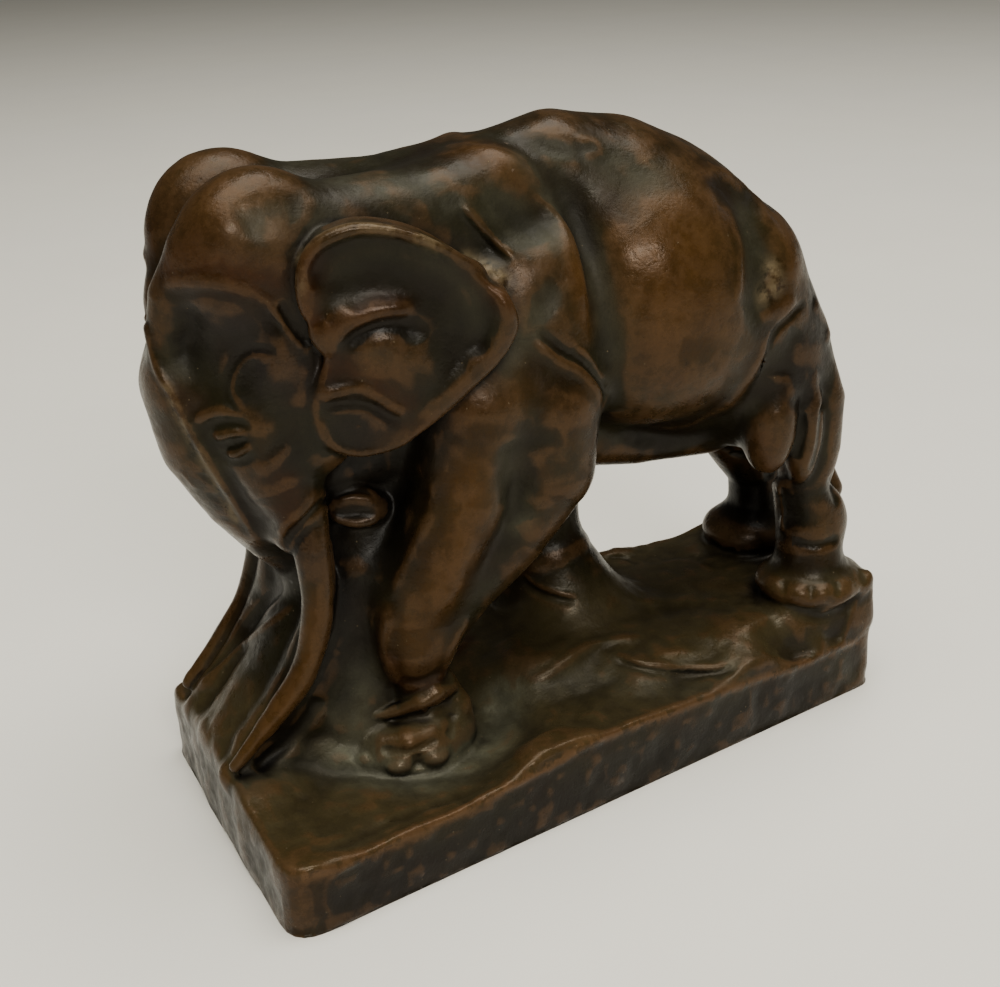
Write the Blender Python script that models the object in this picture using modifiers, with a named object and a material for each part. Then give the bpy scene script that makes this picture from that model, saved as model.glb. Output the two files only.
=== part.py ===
"""Brass elephant walking over rough ground, cast in one piece with its plinth.

The animal is built the way a modeller builds it in clay. Masses (balls, tapering limbs and plates) are
laid on one after another and run into each other, and ridges and hollows are then pressed in. The masses
are first put down as primitives and remeshed into one skin, and the skin is drawn onto the smooth form.

+Z is up, the head looks along -X, the near long side faces -Y, and the underside lies at Z = 0.
"""
import bmesh
import bpy
import numpy as np
from mathutils import Matrix, Vector

# Driving sizes of the plinth, in metres; it reaches a little past its length at the rear and the far front
PLINTH_LENGTH = 0.165
PLINTH_FRONT_WIDTH = 0.0857
PLINTH_REAR_WIDTH = 0.0569
PLINTH_FAR_SIDE = 0.0303
PLINTH_REAR_REACH = 0.0029
PLINTH_FRONT_SKEW = 0.0025
PLINTH_FRONT_HEIGHT = 0.0165
PLINTH_REAR_HEIGHT = 0.030
PLINTH_EDGE_RADIUS = 0.0022
PLINTH_CORNER_RADIUS = 0.009

# Driving sizes of the figure, in metres
FIGURE_HEIGHT = 0.150
TUSK_RADIUS = 0.0047
EAR_THICKNESS = 0.008

# The skin: size of its cells before it is thinned, and the triangles that are kept
ROUGH_CELL = 0.0025
FINE_CELL = 0.0015
TRIANGLES_KEPT = 9600

# The figure keeps its pose and carving in its own measure, a 150th part of its height
STEP = FIGURE_HEIGHT / 150
FAR_AWAY = 25.0
REACH = 4.0
LONGEST_MOVE = 1.6
FLAT_WITHIN = 0.05
MIRRORED = np.array([1.0, -1.0, 1.0])

COLLECTION = "Brass elephant"
CASTING = "elephant_casting"


def turned(yaw, pitch, roll):
    """Rotation matrix of a roll about X, then a pitch about Y, then a yaw about Z, in degrees."""
    z, y, x = np.radians([yaw, pitch, roll])
    about_z = np.array([[np.cos(z), -np.sin(z), 0], [np.sin(z), np.cos(z), 0], [0, 0, 1]])
    about_y = np.array([[np.cos(y), 0, np.sin(y)], [0, 1, 0], [-np.sin(y), 0, np.cos(y)]])
    about_x = np.array([[1, 0, 0], [0, np.cos(x), -np.sin(x)], [0, np.sin(x), np.cos(x)]])
    return about_z @ about_y @ about_x


def smooth_line(rows, parts=5, closed=False):
    """Rows of a smooth line through the given rows, with a number of parts between neighbours."""
    rows = np.array(rows, float)
    if closed:
        ring = np.vstack([rows[-1:], rows, rows[:2]])
    else:
        ring = np.vstack([2 * rows[0] - rows[1], rows, 2 * rows[-1] - rows[-2]])
    t = np.linspace(0, 1, parts, endpoint=False)[:, None]
    pieces = []
    for a, b, c, d in zip(ring, ring[1:], ring[2:], ring[3:]):
        bend = (2 * a - 5 * b + 4 * c - d) * t ** 2 + (3 * b - a - 3 * c + d) * t ** 3
        pieces.append(b + 0.5 * ((c - a) * t + bend))
    if not closed:
        pieces.append(rows[-1:])
    return np.vstack(pieces)


def along(points, a, b):
    """Share of the way from a to b of each point's foot on that line, and the offset from the foot."""
    way = b - a
    share = np.clip((points - a) @ way / (way @ way), 0, 1)
    return share, points - a - share[:, None] * way


def blend(a, b, width):
    """The lesser of two distances, rounded where they differ by less than the width."""
    if width <= 0:
        return np.minimum(a, b)
    near = np.maximum(width - np.abs(a - b), 0) / width
    return np.minimum(a, b) - near * near * width / 4


def outline_distance(points, outline):
    """Signed distance of flat points to a closed outline, negative inside."""
    squared = np.full(len(points), 1e9)
    inside = np.zeros(len(points), bool)
    for a, b in zip(outline, np.roll(outline, -1, 0)):
        offset = along(points, a, b)[1]
        squared = np.minimum(squared, (offset ** 2).sum(1))
        if a[1] != b[1]:
            crossing = (points[:, 1] - a[1]) * (b[0] - a[0]) / (b[1] - a[1]) + a[0]
            inside ^= ((a[1] > points[:, 1]) != (b[1] > points[:, 1])) & (points[:, 0] < crossing)
    return np.sqrt(squared) * np.where(inside, -1, 1)


def rounded_plan(corners, radii, parts=4):
    """A plan with its corners rounded over the given lengths of its sides."""
    sharp = np.array(corners, float)
    t = np.linspace(0, 1, parts + 1)[:, None]
    plan = []
    for before, corner, after, radius in zip(np.roll(sharp, 1, 0), sharp, np.roll(sharp, -1, 0), radii):
        start = corner + (before - corner) / np.linalg.norm(before - corner) * radius
        end = corner + (after - corner) / np.linalg.norm(after - corner) * radius
        plan.append((1 - t) ** 2 * start + 2 * t * (1 - t) * corner + t ** 2 * end)
    return np.vstack(plan)


def plate_distance(side, face, rounding):
    """Distance to a plate from those to its outline and to its faces, with rounded edges."""
    side = side + rounding
    face = face + rounding
    outside = np.hypot(np.maximum(side, 0), np.maximum(face, 0))
    return np.minimum(np.maximum(side, face), 0) + outside - rounding


class Ball:
    """An ellipsoid mass."""

    def __init__(self, centre, radii, turn=(0, 0, 0)):
        self.centre = np.array(centre, float)
        self.radii = np.array(radii, float)
        self.turn = turned(*turn)
        half = np.sqrt(((self.turn * self.radii) ** 2).sum(1))
        self.low = self.centre - half
        self.high = self.centre + half

    def distance(self, points):
        local = (points - self.centre) @ self.turn
        size = np.linalg.norm(local / self.radii, axis=1)
        slope = np.linalg.norm(local / self.radii ** 2, axis=1)
        return size * (size - 1) / np.maximum(slope, 1e-6)

    def primitives(self, flip):
        place = Matrix(self.turn.tolist()).to_4x4()
        place.translation = Vector(self.centre)
        piece = bmesh.new()
        place = flip @ place @ Matrix.Diagonal((*self.radii, 1))
        bmesh.ops.create_uvsphere(piece, u_segments=24, v_segments=16, radius=1, matrix=place)
        yield piece


class Limb:
    """A round mass along a line of rows x, y, z, radius."""

    def __init__(self, rows, depth=1.0):
        rows = np.array(rows, float)
        self.line = rows[:, :3]
        self.radius = rows[:, 3]
        self.squeeze = np.array([1, 1 / depth, 1])
        self.low = (self.line - self.radius[:, None]).min(0)
        self.high = (self.line + self.radius[:, None]).max(0)

    def distance(self, points):
        nearest = np.full(len(points), 1e9)
        for a, b, start, end in zip(self.line, self.line[1:], self.radius, self.radius[1:]):
            share, offset = along(points, a, b)
            reach = np.linalg.norm(offset * self.squeeze, axis=1)
            nearest = np.minimum(nearest, reach - start - share * (end - start))
        return nearest

    def primitives(self, flip):
        depth = Matrix.Diagonal((*(1 / self.squeeze), 1))
        for centre, radius in zip(self.line, self.radius):
            piece = bmesh.new()
            place = flip @ Matrix.Translation(centre) @ depth
            bmesh.ops.create_uvsphere(piece, u_segments=16, v_segments=10, radius=radius, matrix=place)
            yield piece
        for a, b, start, end in zip(self.line, self.line[1:], self.radius, self.radius[1:]):
            way = Vector(b - a)
            aim = way.to_track_quat("Z", "Y").to_matrix().to_4x4()
            place = flip @ Matrix.Translation((a + b) / 2) @ depth @ aim
            piece = bmesh.new()
            bmesh.ops.create_cone(piece, cap_ends=True, segments=16, radius1=start, radius2=end,
                                  depth=way.length, matrix=place)
            yield piece


class Plate:
    """A plate with a smooth outline of rows x, z in its own turned plane."""

    def __init__(self, centre, outline, thickness, rounding, turn=(0, 0, 0)):
        self.centre = np.array(centre, float)
        self.turn = turned(*turn)
        self.half = thickness / 2
        self.rounding = rounding
        self.outline = smooth_line(np.array(outline) - self.centre[[0, 2]], 4, closed=True)
        rim = np.insert(self.outline, 1, 0, axis=1) @ self.turn.T + self.centre
        self.low = rim.min(0) - thickness
        self.high = rim.max(0) + thickness

    def distance(self, points):
        local = (points - self.centre) @ self.turn
        side = outline_distance(local[:, [0, 2]], self.outline)
        return plate_distance(side, np.abs(local[:, 1]) - self.half, self.rounding)

    def primitives(self, flip):
        place = Matrix(self.turn.tolist()).to_4x4()
        place.translation = Vector(self.centre)
        piece = bmesh.new()
        ring = [piece.verts.new((x, -self.half, z)) for x, z in self.outline]
        raised = bmesh.ops.extrude_face_region(piece, geom=[piece.faces.new(ring)])["geom"]
        top = [part for part in raised if isinstance(part, bmesh.types.BMVert)]
        bmesh.ops.translate(piece, verts=top, vec=(0, 2 * self.half, 0))
        bmesh.ops.transform(piece, verts=piece.verts[:], matrix=flip @ place)
        yield piece


class Plinth:
    """The block of ground: an oblique plan, and a top that runs smoothly through named heights."""

    WIDTHWISE = 1.7
    SOFTNESS = 6.0
    FALL_OFF = 1.7
    STEEPNESS = 0.93
    # Roundness of the upright corners, as shares of the most rounded one
    NEAR_REAR = 0.4
    FAR_REAR = 0.55
    FAR_FRONT = 0.65

    def __init__(self):
        half = PLINTH_LENGTH / 2 / STEP
        far = PLINTH_FAR_SIDE / STEP
        self.front_near = far - PLINTH_FRONT_WIDTH / STEP
        self.rear_near = far - PLINTH_REAR_WIDTH / STEP
        rear = half + PLINTH_REAR_REACH / STEP
        far_front = -half - PLINTH_FRONT_SKEW / STEP
        self.corners = np.array([(-half, self.front_near), (rear, self.rear_near), (rear, far), (far_front, far)])
        most = PLINTH_CORNER_RADIUS / STEP
        shares = (1, self.NEAR_REAR, self.FAR_REAR, self.FAR_FRONT)
        self.plan = rounded_plan(self.corners, [share * most for share in shares])
        self.rounding = PLINTH_EDGE_RADIUS / STEP
        self.low = np.array([far_front, self.front_near, -REACH])
        self.high = np.array([rear, far, 2 * PLINTH_REAR_HEIGHT / STEP])
        self.rows = self.heights(half, far)

    def heights(self, half, far):
        """Rows x, y, z of the ground; lengths, widths and heights follow the plinth's own sizes."""
        front = PLINTH_FRONT_HEIGHT / STEP
        rear = PLINTH_REAR_HEIGHT / STEP
        shares = [
            (-0.97, 0.05, 1.00, 0.00), (-0.68, 0.06, 0.91, 0.00), (-0.18, 0.04, 1.24, 0.00),
            (0.31, 0.03, 0.65, 0.23), (0.72, 0.03, 0.50, 0.22), (0.86, 0.05, 0.50, 0.22),
            (0.95, 0.05, 0.20, 0.85), (1.00, 0.04, 0.10, 1.00),
            (-0.98, 0.42, 1.18, 0.00), (-0.98, 0.97, 1.10, 0.00), (-0.98, 0.66, 1.18, 0.00),
            (-0.73, 0.22, 0.91, 0.00), (-0.55, 0.22, 0.81, 0.00), (-0.41, 0.20, 0.81, 0.00),
            (-0.27, 0.25, 0.90, 0.00), (-0.48, 0.42, 0.80, 0.00), (-0.02, 0.18, 1.00, 0.05),
            (0.00, 0.45, 1.00, 0.28), (0.30, 0.30, 0.70, 0.41), (0.36, 0.97, 0.60, 0.52),
            (0.60, 0.20, 0.30, 0.70), (0.60, 0.97, 0.30, 0.66), (0.74, 0.12, 0.20, 0.82),
            (0.90, 0.15, 0.10, 0.93), (0.98, 0.20, 0.10, 0.98), (0.98, 0.95, 0.10, 0.90),
            (0.78, 0.75, 0.20, 0.76), (0.00, 0.95, 0.90, 0.30), (-0.48, 0.95, 1.00, 0.12),
        ]
        rows = []
        for along_length, across, of_front, of_rear in shares:
            near = self.near_edge(along_length * half)
            height = of_front * front + of_rear * rear
            rows.append((along_length * half, near + across * (far - near), height))
        return np.array(rows)

    def near_edge(self, x):
        share = (x - self.corners[0, 0]) / (self.corners[1, 0] - self.corners[0, 0])
        return self.front_near + share * (self.rear_near - self.front_near)

    def top(self, x, y):
        """Height of the ground: the mean of the named heights, weighted by how close each one is."""
        total = np.zeros(len(x))
        weights = np.zeros(len(x))
        for row_x, row_y, row_z in self.rows:
            apart = (x - row_x) ** 2 + self.WIDTHWISE * (y - row_y) ** 2
            weight = (apart + self.SOFTNESS) ** -self.FALL_OFF
            total += weight * row_z
            weights += weight
        return total / weights

    def distance(self, points):
        side = outline_distance(points[:, :2], self.plan)
        top = (points[:, 2] - self.top(points[:, 0], points[:, 1])) * self.STEEPNESS
        return np.maximum(plate_distance(side, top, self.rounding), -REACH - points[:, 2])

    def primitives(self, flip):
        piece = bmesh.new()
        corners = bmesh.ops.create_cube(piece, size=1)["verts"]
        for corner in corners:
            row = (0, 3)[corner.co.y > 0] if corner.co.x < 0 else (1, 2)[corner.co.y > 0]
            x, y = self.corners[row]
            z = self.top(np.array([x]), np.array([y]))[0] if corner.co.z > 0 else -REACH
            corner.co = (x, y, z)
        yield piece


class Trim:
    """What lies outside an upright plan is cut away."""

    def __init__(self, plan, rounding):
        self.plan = plan
        self.rounding = rounding
        self.low = np.array([*plan.min(0), 0]) - FAR_AWAY
        self.high = np.array([*plan.max(0), 0]) + 4 * FAR_AWAY

    def distance(self, points):
        return outline_distance(points[:, :2], self.plan)

    def primitives(self, flip):
        """A cut puts nothing down."""
        return ()


class Stroke:
    """A ridge (height above 0) or a groove (below 0) along a smooth line."""

    def __init__(self, rows, height, width):
        self.line = smooth_line(rows)
        self.height = height
        self.width = width
        self.low = self.line.min(0) - 2.6 * width
        self.high = self.line.max(0) + 2.6 * width

    def lift(self, points):
        squared = np.full(len(points), 1e9)
        for a, b in zip(self.line, self.line[1:]):
            squared = np.minimum(squared, (along(points, a, b)[1] ** 2).sum(1))
        return self.height * np.exp(-squared / self.width ** 2)


class Dab:
    """A soft bump (height above 0) or hollow (below 0)."""

    def __init__(self, centre, radii, height, turn=(0, 0, 0)):
        self.centre = np.array(centre, float)
        self.radii = np.array(radii, float)
        self.height = height
        self.turn = turned(*turn)
        self.low = self.centre - 2.6 * self.radii.max()
        self.high = self.centre + 2.6 * self.radii.max()

    def lift(self, points):
        local = ((points - self.centre) @ self.turn) / self.radii
        return self.height * np.exp(-(local ** 2).sum(1))


class Clay:
    """The masses and marks in the order in which they are laid on."""

    def __init__(self):
        self.masses = []
        self.marks = []

    def add(self, mass, run=5.0):
        """Lays a mass on; run is how far it runs into what is there."""
        self.masses.append((mass, run, (None,)))

    def pair(self, mass, run=5.0):
        """Lays a mass on both sides of the animal."""
        self.masses.append((mass, run, (None, MIRRORED)))

    def cut_back(self, plan, rounding):
        """Cuts all that is laid so far back to a plan of rows x, y."""
        self.masses.append((Trim(plan, rounding), rounding, (None,)))

    def press(self, mark):
        """Presses a mark on the near side."""
        self.marks.append((mark, (None,)))

    def press_pair(self, mark):
        """Presses a mark on both sides."""
        self.marks.append((mark, (None, MIRRORED)))

    def distance(self, points):
        """Signed distance of the points to the form, negative inside, right near the surface."""
        total = np.full(len(points), FAR_AWAY)
        for mass, run, sides in self.masses:
            for side in sides:
                seen = points if side is None else points * side
                near = ((seen > mass.low - run - REACH) & (seen < mass.high + run + REACH)).all(1)
                laid = mass.distance(seen[near])
                if isinstance(mass, Trim):
                    total[near] = -blend(-total[near], -laid, run)
                else:
                    total[near] = blend(total[near], laid, run)
        for mark, sides in self.marks:
            for side in sides:
                seen = points if side is None else points * side
                near = ((seen > mark.low) & (seen < mark.high)).all(1)
                total[near] -= mark.lift(seen[near])
        return total

    def rough_form(self):
        """All masses as primitives in one mesh."""
        rough = bmesh.new()
        mesh = bpy.data.meshes.new("rough masses")
        for mass, _, sides in self.masses:
            for side in sides:
                flip = Matrix.Identity(4) if side is None else Matrix.Diagonal((*side, 1))
                for piece in mass.primitives(flip):
                    piece.to_mesh(mesh)
                    piece.free()
                    rough.from_mesh(mesh)
        rough.to_mesh(mesh)
        rough.free()
        return mesh


def lay_ground(clay):
    """The plinth, the ramp between the tusks, the far forefoot's mound and the near hind foot's step."""
    plinth = Plinth()
    clay.add(plinth, 0)
    clay.add(Limb([(-84, -3, 8, 9), (-74, -3, 18.5, 9.5), (-64, -3, 30, 10), (-56, -2, 42, 10.5),
                   (-46, -1, 56, 12)], 1.45), 4)
    clay.add(Limb([(-60, -5, 10, 12), (-50, -6, 20, 14), (-42, -2, 42, 14), (-30, 0, 66, 16)]), 9)
    clay.add(Limb([(10, 14, 49, 7.5), (11, 12, 37, 11), (16, 8, 17, 17)]), 10)
    clay.add(Limb([(-57, 11, 56, 6), (-59, 12, 44, 6.5), (-64, 13, 34, 6), (-72, 13, 25, 5),
                   (-79, 13.5, 18, 4)]), 3)
    clay.add(Limb([(62, -19, 19, 8.5), (77, -18.5, 20, 9)]), 3)
    clay.add(Ball((38.5, 27, 23.5), (6, 3, 2.6)), 2)
    clay.cut_back(plinth.plan, plinth.rounding)


def lay_body(clay):
    """Barrel, back, belly, rump and chest."""
    clay.add(Ball((26, 0, 110), (33, 31, 32)), 6)
    clay.pair(Ball((27, -12, 101), (28, 17, 21)), 5)
    clay.add(Limb([(-42, 0, 123, 14), (-15, 0, 131, 14), (6, 0, 137, 13), (20, 0, 134.5, 13),
                   (34, 0, 123.5, 13), (48, 0, 113, 13), (57, 0, 101, 12)]), 9)
    clay.add(Limb([(10, 0, 76, 9), (28, 0, 72, 8), (48, 0, 71, 8)]), 8)
    clay.add(Ball((47, 0, 97), (22, 23, 28)), 8)
    clay.pair(Ball((50.5, -13, 108), (13, 12, 18)), 5)
    clay.add(Ball((-12, 0, 108), (24, 24, 33)), 8)
    clay.pair(Ball((-7, -17, 104), (16, 12, 25)), 5)
    clay.add(Limb([(-48, 0, 84, 13), (-36, 0, 88, 16), (-24, 0, 82, 16)]), 6)


def lay_hind_legs(clay):
    """The near hind leg is set back, and the far one a little forward; the tail hangs between them."""
    clay.add(Limb([(54, 16, 86, 12), (59, 16, 72, 10), (67.5, 15, 58, 8.3), (75, 15, 47, 7.6),
                   (76, 15, 37, 8)]), 5)
    clay.add(Ball((73, 15, 30.5), (12.5, 12, 6.5)), 4)
    clay.add(Ball((57, -13, 88), (15, 11, 22)), 6)
    clay.add(Ball((53, -19.5, 77), (6.5, 7, 14)), 3)
    clay.add(Ball((62.5, -20, 74), (4.6, 5.5, 15)), 1.5)
    clay.add(Limb([(66, -13, 91, 7), (69.8, -15.5, 78, 6.6), (69.5, -16, 66, 6.3), (67, -15, 55, 7),
                   (69, -16, 44, 7.8), (69, -17, 37, 7.8)]), 2.5)
    clay.add(Ball((74.5, -16, 45), (5, 5, 7.5)), 5)
    clay.add(Ball((69.5, -17, 30.5), (13.8, 12.5, 5.8)), 3)
    clay.add(Limb([(66, 0, 108, 3.5), (73, -1, 92, 3.5), (76, -3, 74, 3), (78, -6, 58, 3),
                   (80.5, -8, 49, 4)]), 3)


def lay_forelegs(clay):
    """The near foreleg reaches forward, and the far one stands back in its mound."""
    clay.add(Limb([(-8, 18, 96, 14), (0, 18, 76, 12), (6, 17, 58, 10.5), (6, 17, 46, 9.5),
                   (6, 17, 32, 10)], 0.95), 5)
    clay.add(Limb([(6, 18, 90, 12), (11, 17, 74, 11), (12, 16, 60, 9.5), (9, 16, 46, 8.5)], 0.95), 5)
    clay.add(Limb([(-22, -20, 95, 13), (-26, -20, 76, 11), (-33, -19, 60, 10), (-38.5, -18, 49, 9.2),
                   (-38.5, -18, 41, 8.6)], 0.95), 5)
    clay.add(Limb([(-6, -20, 92, 12.5), (-6, -19, 77, 11.5), (-14, -18, 63, 9), (-26, -17.5, 51, 7.5),
                   (-33, -17, 43, 7)], 0.95), 5)
    lay_near_forefoot(clay)


def lay_near_forefoot(clay):
    """Ankle, sole, a wrinkle over the instep, the heel, and three toes."""
    clay.add(Limb([(-37, -16.5, 34, 6.6), (-37, -16, 22, 7.5)]), 1)
    clay.add(Ball((-39, -17, 17), (13.5, 11.5, 6.5)), 4)
    clay.add(Limb([(-50, -20, 18, 2.5), (-47.5, -22, 18, 3.9), (-43.5, -23.9, 18.5, 4.6),
                   (-38.8, -24.5, 19, 3.9), (-34.5, -23.4, 20, 2.6)]), 1.6)
    clay.add(Limb([(-31.5, -18, 28, 2.6), (-29.5, -20, 23, 3.2), (-30, -21.5, 18, 3.2)]), 3)
    clay.add(Limb([(-48.5, -18.7, 25, 1.2), (-43, -20.5, 25.5, 2), (-39.3, -23, 28, 2.5),
                   (-36, -23.4, 29.5, 2.2), (-31, -21, 28.5, 1.3)]), 0.9)
    for centre in ((-52, -22, 17), (-46.6, -27, 16), (-38.7, -28.6, 17)):
        clay.add(Ball(centre, (3, 2.6, 2.3)), 0.9)


def lay_head(clay):
    """Neck, the two domes, forehead, trunk and cheeks."""
    clay.add(Ball((-34, 0, 111), (24, 21, 27)), 8)
    clay.pair(Limb([(-60, -11, 132.5, 11), (-46, -9.5, 132, 11), (-30, -8, 132, 10.8), (-14, -7, 134, 11)]), 4)
    clay.pair(Ball((-64, -11, 130.5), (16.5, 11, 17)), 3)
    clay.add(Ball((-71, 9, 114), (13, 11, 16)), 5)
    clay.add(Ball((-68, -6, 113), (12, 9.5, 15)), 5)
    clay.add(Limb([(-75, -9, 131, 6), (-79.5, -6, 123, 5.5), (-80.8, -5, 115.5, 5), (-80, -5, 107.5, 5),
                   (-77.3, -5.5, 101, 5), (-74.5, -6, 92, 5), (-70.5, -6, 83, 5), (-66.5, -6, 73, 5)]), 3)
    clay.add(Ball((-62, 0, 102), (18, 20, 24)), 5)
    clay.add(Limb([(-75.5, 0, 103, 12), (-73.5, 0, 90, 11.5), (-67.5, 0, 78, 10.5), (-60.5, 0, 67.5, 9.5),
                   (-54, 0, 60, 9), (-48, -2, 61, 8), (-46, -6, 68, 7)]), 5)
    clay.add(Ball((-46.5, -11, 72.5), (7, 5, 4.5), (0, 12, 0)), 1.5)
    clay.pair(Limb([(-67, -12, 96, 9), (-64, -14, 86, 8), (-61.5, -15.5, 78, 6.4), (-62, -15.5, 72, 5)]), 6)
    clay.pair(Limb([(-59, -13, 128, 8), (-60, -14.5, 116, 8.5), (-58.5, -15.5, 104, 9),
                    (-56, -15.5, 93, 8)]), 4)


def lay_tusks(clay):
    """Tusks that curve down to the front edge of the ground."""
    root = TUSK_RADIUS / STEP
    rows = [(-59.5, -17, 76, 0.84), (-60.3, -19, 68.5, 0.83), (-60.2, -20, 59, 0.76), (-61.6, -20.3, 50, 0.69),
            (-65.4, -20.3, 40.5, 0.62), (-70.8, -20, 33.9, 0.54), (-76.5, -19.8, 27.6, 0.45),
            (-81.6, -19.6, 22.3, 0.36)]
    line = smooth_line(rows, 4)
    line[:, 3] *= root
    clay.pair(Limb(line), 0.8)


def on_ear(rows, proud=3.0):
    """Rows x, z put on the ear's outer face, which turns outward to the rear."""
    return [(x, -27.5 - 0.249 * (x + 40) - proud, z) for x, z in rows]


def lay_ears(clay):
    """Ears: a leaning plate with a rolled rim, a dished upper part and two folds."""
    outline = [(-58, 117), (-60.5, 127), (-57.5, 134.5), (-50, 138), (-41, 137), (-31, 132), (-21.5, 123),
               (-17.5, 116.5), (-20, 109.5), (-28, 102), (-36.5, 95), (-44, 90.5), (-53, 90.5), (-58.5, 95),
               (-59.5, 103), (-56.5, 112)]
    clay.pair(Plate((-40, -26.5, 114), outline, EAR_THICKNESS / STEP, 1.8, (-14, 0, 4)), 1.5)
    rim = on_ear([(-58.5, 117.5), (-59.5, 126), (-56.5, 133), (-49.5, 136), (-41, 135), (-31.5, 130),
                  (-23.5, 122.5), (-20.5, 116.5), (-22.5, 110.5), (-29, 104), (-37, 97.5)], 2.6)
    upper_dish = on_ear([(-54, 121), (-54.5, 127), (-49, 129.5), (-41, 129), (-33, 124.5)])
    rear_dish = on_ear([(-44, 123.5), (-36, 122.5), (-28.5, 117), (-27, 112)])
    fold = on_ear([(-59.5, 118), (-57, 116), (-53, 117.3), (-48, 119.7), (-42.5, 121), (-37, 119.5)])
    under_fold = on_ear([(-55, 112.5), (-48, 114.6), (-42, 115.6), (-36, 113)])
    low_fold = on_ear([(-58.5, 103.4), (-53.5, 105.3), (-48.5, 104.3), (-43.5, 101), (-38, 98)])
    clay.press_pair(Stroke(rim, 2.6, 2.4))
    clay.press_pair(Stroke(upper_dish, -3.4, 3.4))
    clay.press_pair(Stroke(rear_dish, -2.2, 3.6))
    clay.press_pair(Stroke(fold, 2.0, 2.0))
    clay.press_pair(Stroke(under_fold, -2.2, 2.4))
    clay.press_pair(Stroke(low_fold, 1.5, 1.7))
    clay.press_pair(Dab(on_ear([(-50, 97.5)])[0], (6, 5, 4.5), -1.2))


def press_body(clay):
    """Shoulder blade, barrel, flank, hip and thigh."""
    blade = [(-24, -7, 144), (-14.5, -14, 145.5), (-8, -18.5, 141.5), (-4, -22, 135.5), (-3, -26, 127.5),
             (-3.5, -29, 119.5), (-2.5, -31.5, 110.5), (1.5, -30, 102)]
    behind_blade = [(5, -9, 147), (7.5, -16, 138.5), (8, -23, 128), (7.5, -27, 117), (8, -28, 106),
                    (9.5, -27, 96)]
    armpit = [(-9, -30, 108.5), (-3, -30.5, 104), (4.5, -28, 98), (7.5, -26, 90), (7.5, -23, 80)]
    barrel_edge = [(8, -26, 90), (14, -24, 84), (24, -22, 79.5), (34, -21, 78), (42, -22, 80),
                   (48, -23, 85.5), (52.5, -23, 92.5), (55, -25, 101)]
    flank = [(33, -11, 139), (40, -16, 131.5), (44.5, -20, 122.5), (45.5, -24, 113), (46, -26, 105)]
    hip = [(38, -8, 139), (48, -14, 133), (54.5, -18.5, 125), (57.5, -22, 116.5), (58, -24, 109),
           (54, -26, 104)]
    clay.press_pair(Stroke(blade, 2.8, 3.8))
    clay.press_pair(Dab((-11.5, -22, 131), (6, 8, 9), -3.0))
    clay.press_pair(Stroke(behind_blade, -2.6, 4.0))
    clay.press_pair(Stroke(armpit, -2.6, 2.4))
    clay.press_pair(Stroke(barrel_edge, -3.4, 3.0))
    clay.press_pair(Stroke(flank, -2.2, 3.8))
    clay.press_pair(Stroke(hip, 1.6, 3.4))
    clay.press_pair(Dab((51, -24, 111), (4, 4, 5), 1.0))
    clay.press_pair(Dab((4, -9, 146), (8, 4, 3.5), -1.8))
    clay.press(Stroke([(66, -22.5, 86), (65, -25, 76), (63.5, -24.5, 66)], -2.2, 1.6))
    clay.press(Stroke([(57.5, -26, 86), (57.5, -27, 76), (59, -25, 65)], -1.8, 1.6))
    clay.press(Stroke([(-12.5, -31, 90), (-14.5, -29.5, 79), (-17.5, -28, 68)], -2.2, 3.4))


def press_head(clay):
    """Forehead dents, temples, cheeks, eyes and the opening of the trunk."""
    temple_fold = [(-66, -21, 122.5), (-61.5, -20, 117.5), (-57, -19, 112)]
    upper_lid = [(-78.6, -12.5, 95.8), (-76.5, -15, 98.6), (-73.5, -17, 98.8), (-70.4, -19, 96)]
    lower_lid = [(-78, -12.3, 95), (-76, -14.5, 92.6), (-73.5, -16.3, 92), (-70.6, -18.8, 94)]
    cheek_crease = [(-57, -20.5, 82), (-60.5, -22, 78.6), (-64.5, -20, 74), (-66.5, -16, 71)]
    clay.press_pair(Dab((-81, -14.5, 114.5), (4.5, 4.5, 6), -2.4))
    clay.press_pair(Dab((-61.5, -21, 123.5), (5, 4, 5), -2.4))
    clay.press_pair(Stroke(temple_fold, -1.6, 1.8))
    clay.press_pair(Dab((-67, -20.5, 107), (5.5, 5, 5.5), 1.4))
    clay.press_pair(Dab((-74.5, -16, 95.5), (5.2, 4.2, 4), -2.4))
    clay.pair(Ball((-73.6, -13.6, 95.4), (2.7, 2.7, 2.5)), 0.3)
    clay.press_pair(Stroke(upper_lid, 1.2, 1.2))
    clay.press_pair(Stroke(lower_lid, 1.0, 1.1))
    clay.press_pair(Stroke(cheek_crease, -2.2, 1.4))
    clay.press(Dab((-46, -16.5, 71), (3.2, 3, 1.6), -3.0))


def model():
    """The whole form, ground first."""
    clay = Clay()
    lay_ground(clay)
    lay_body(clay)
    lay_hind_legs(clay)
    lay_forelegs(clay)
    lay_head(clay)
    lay_tusks(clay)
    lay_ears(clay)
    press_body(clay)
    press_head(clay)
    return clay


def evaluated_mesh(name, mesh, kind, **settings):
    """The mesh that one modifier of that kind makes of the given one."""
    holder = bpy.data.objects.new(name, mesh)
    bpy.context.scene.collection.objects.link(holder)
    modifier = holder.modifiers.new(kind.title(), kind)
    for setting, value in settings.items():
        setattr(modifier, setting, value)
    shown = holder.evaluated_get(bpy.context.evaluated_depsgraph_get())
    result = bpy.data.meshes.new_from_object(shown)
    bpy.data.objects.remove(holder)
    bpy.data.meshes.remove(mesh)
    return result


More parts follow.
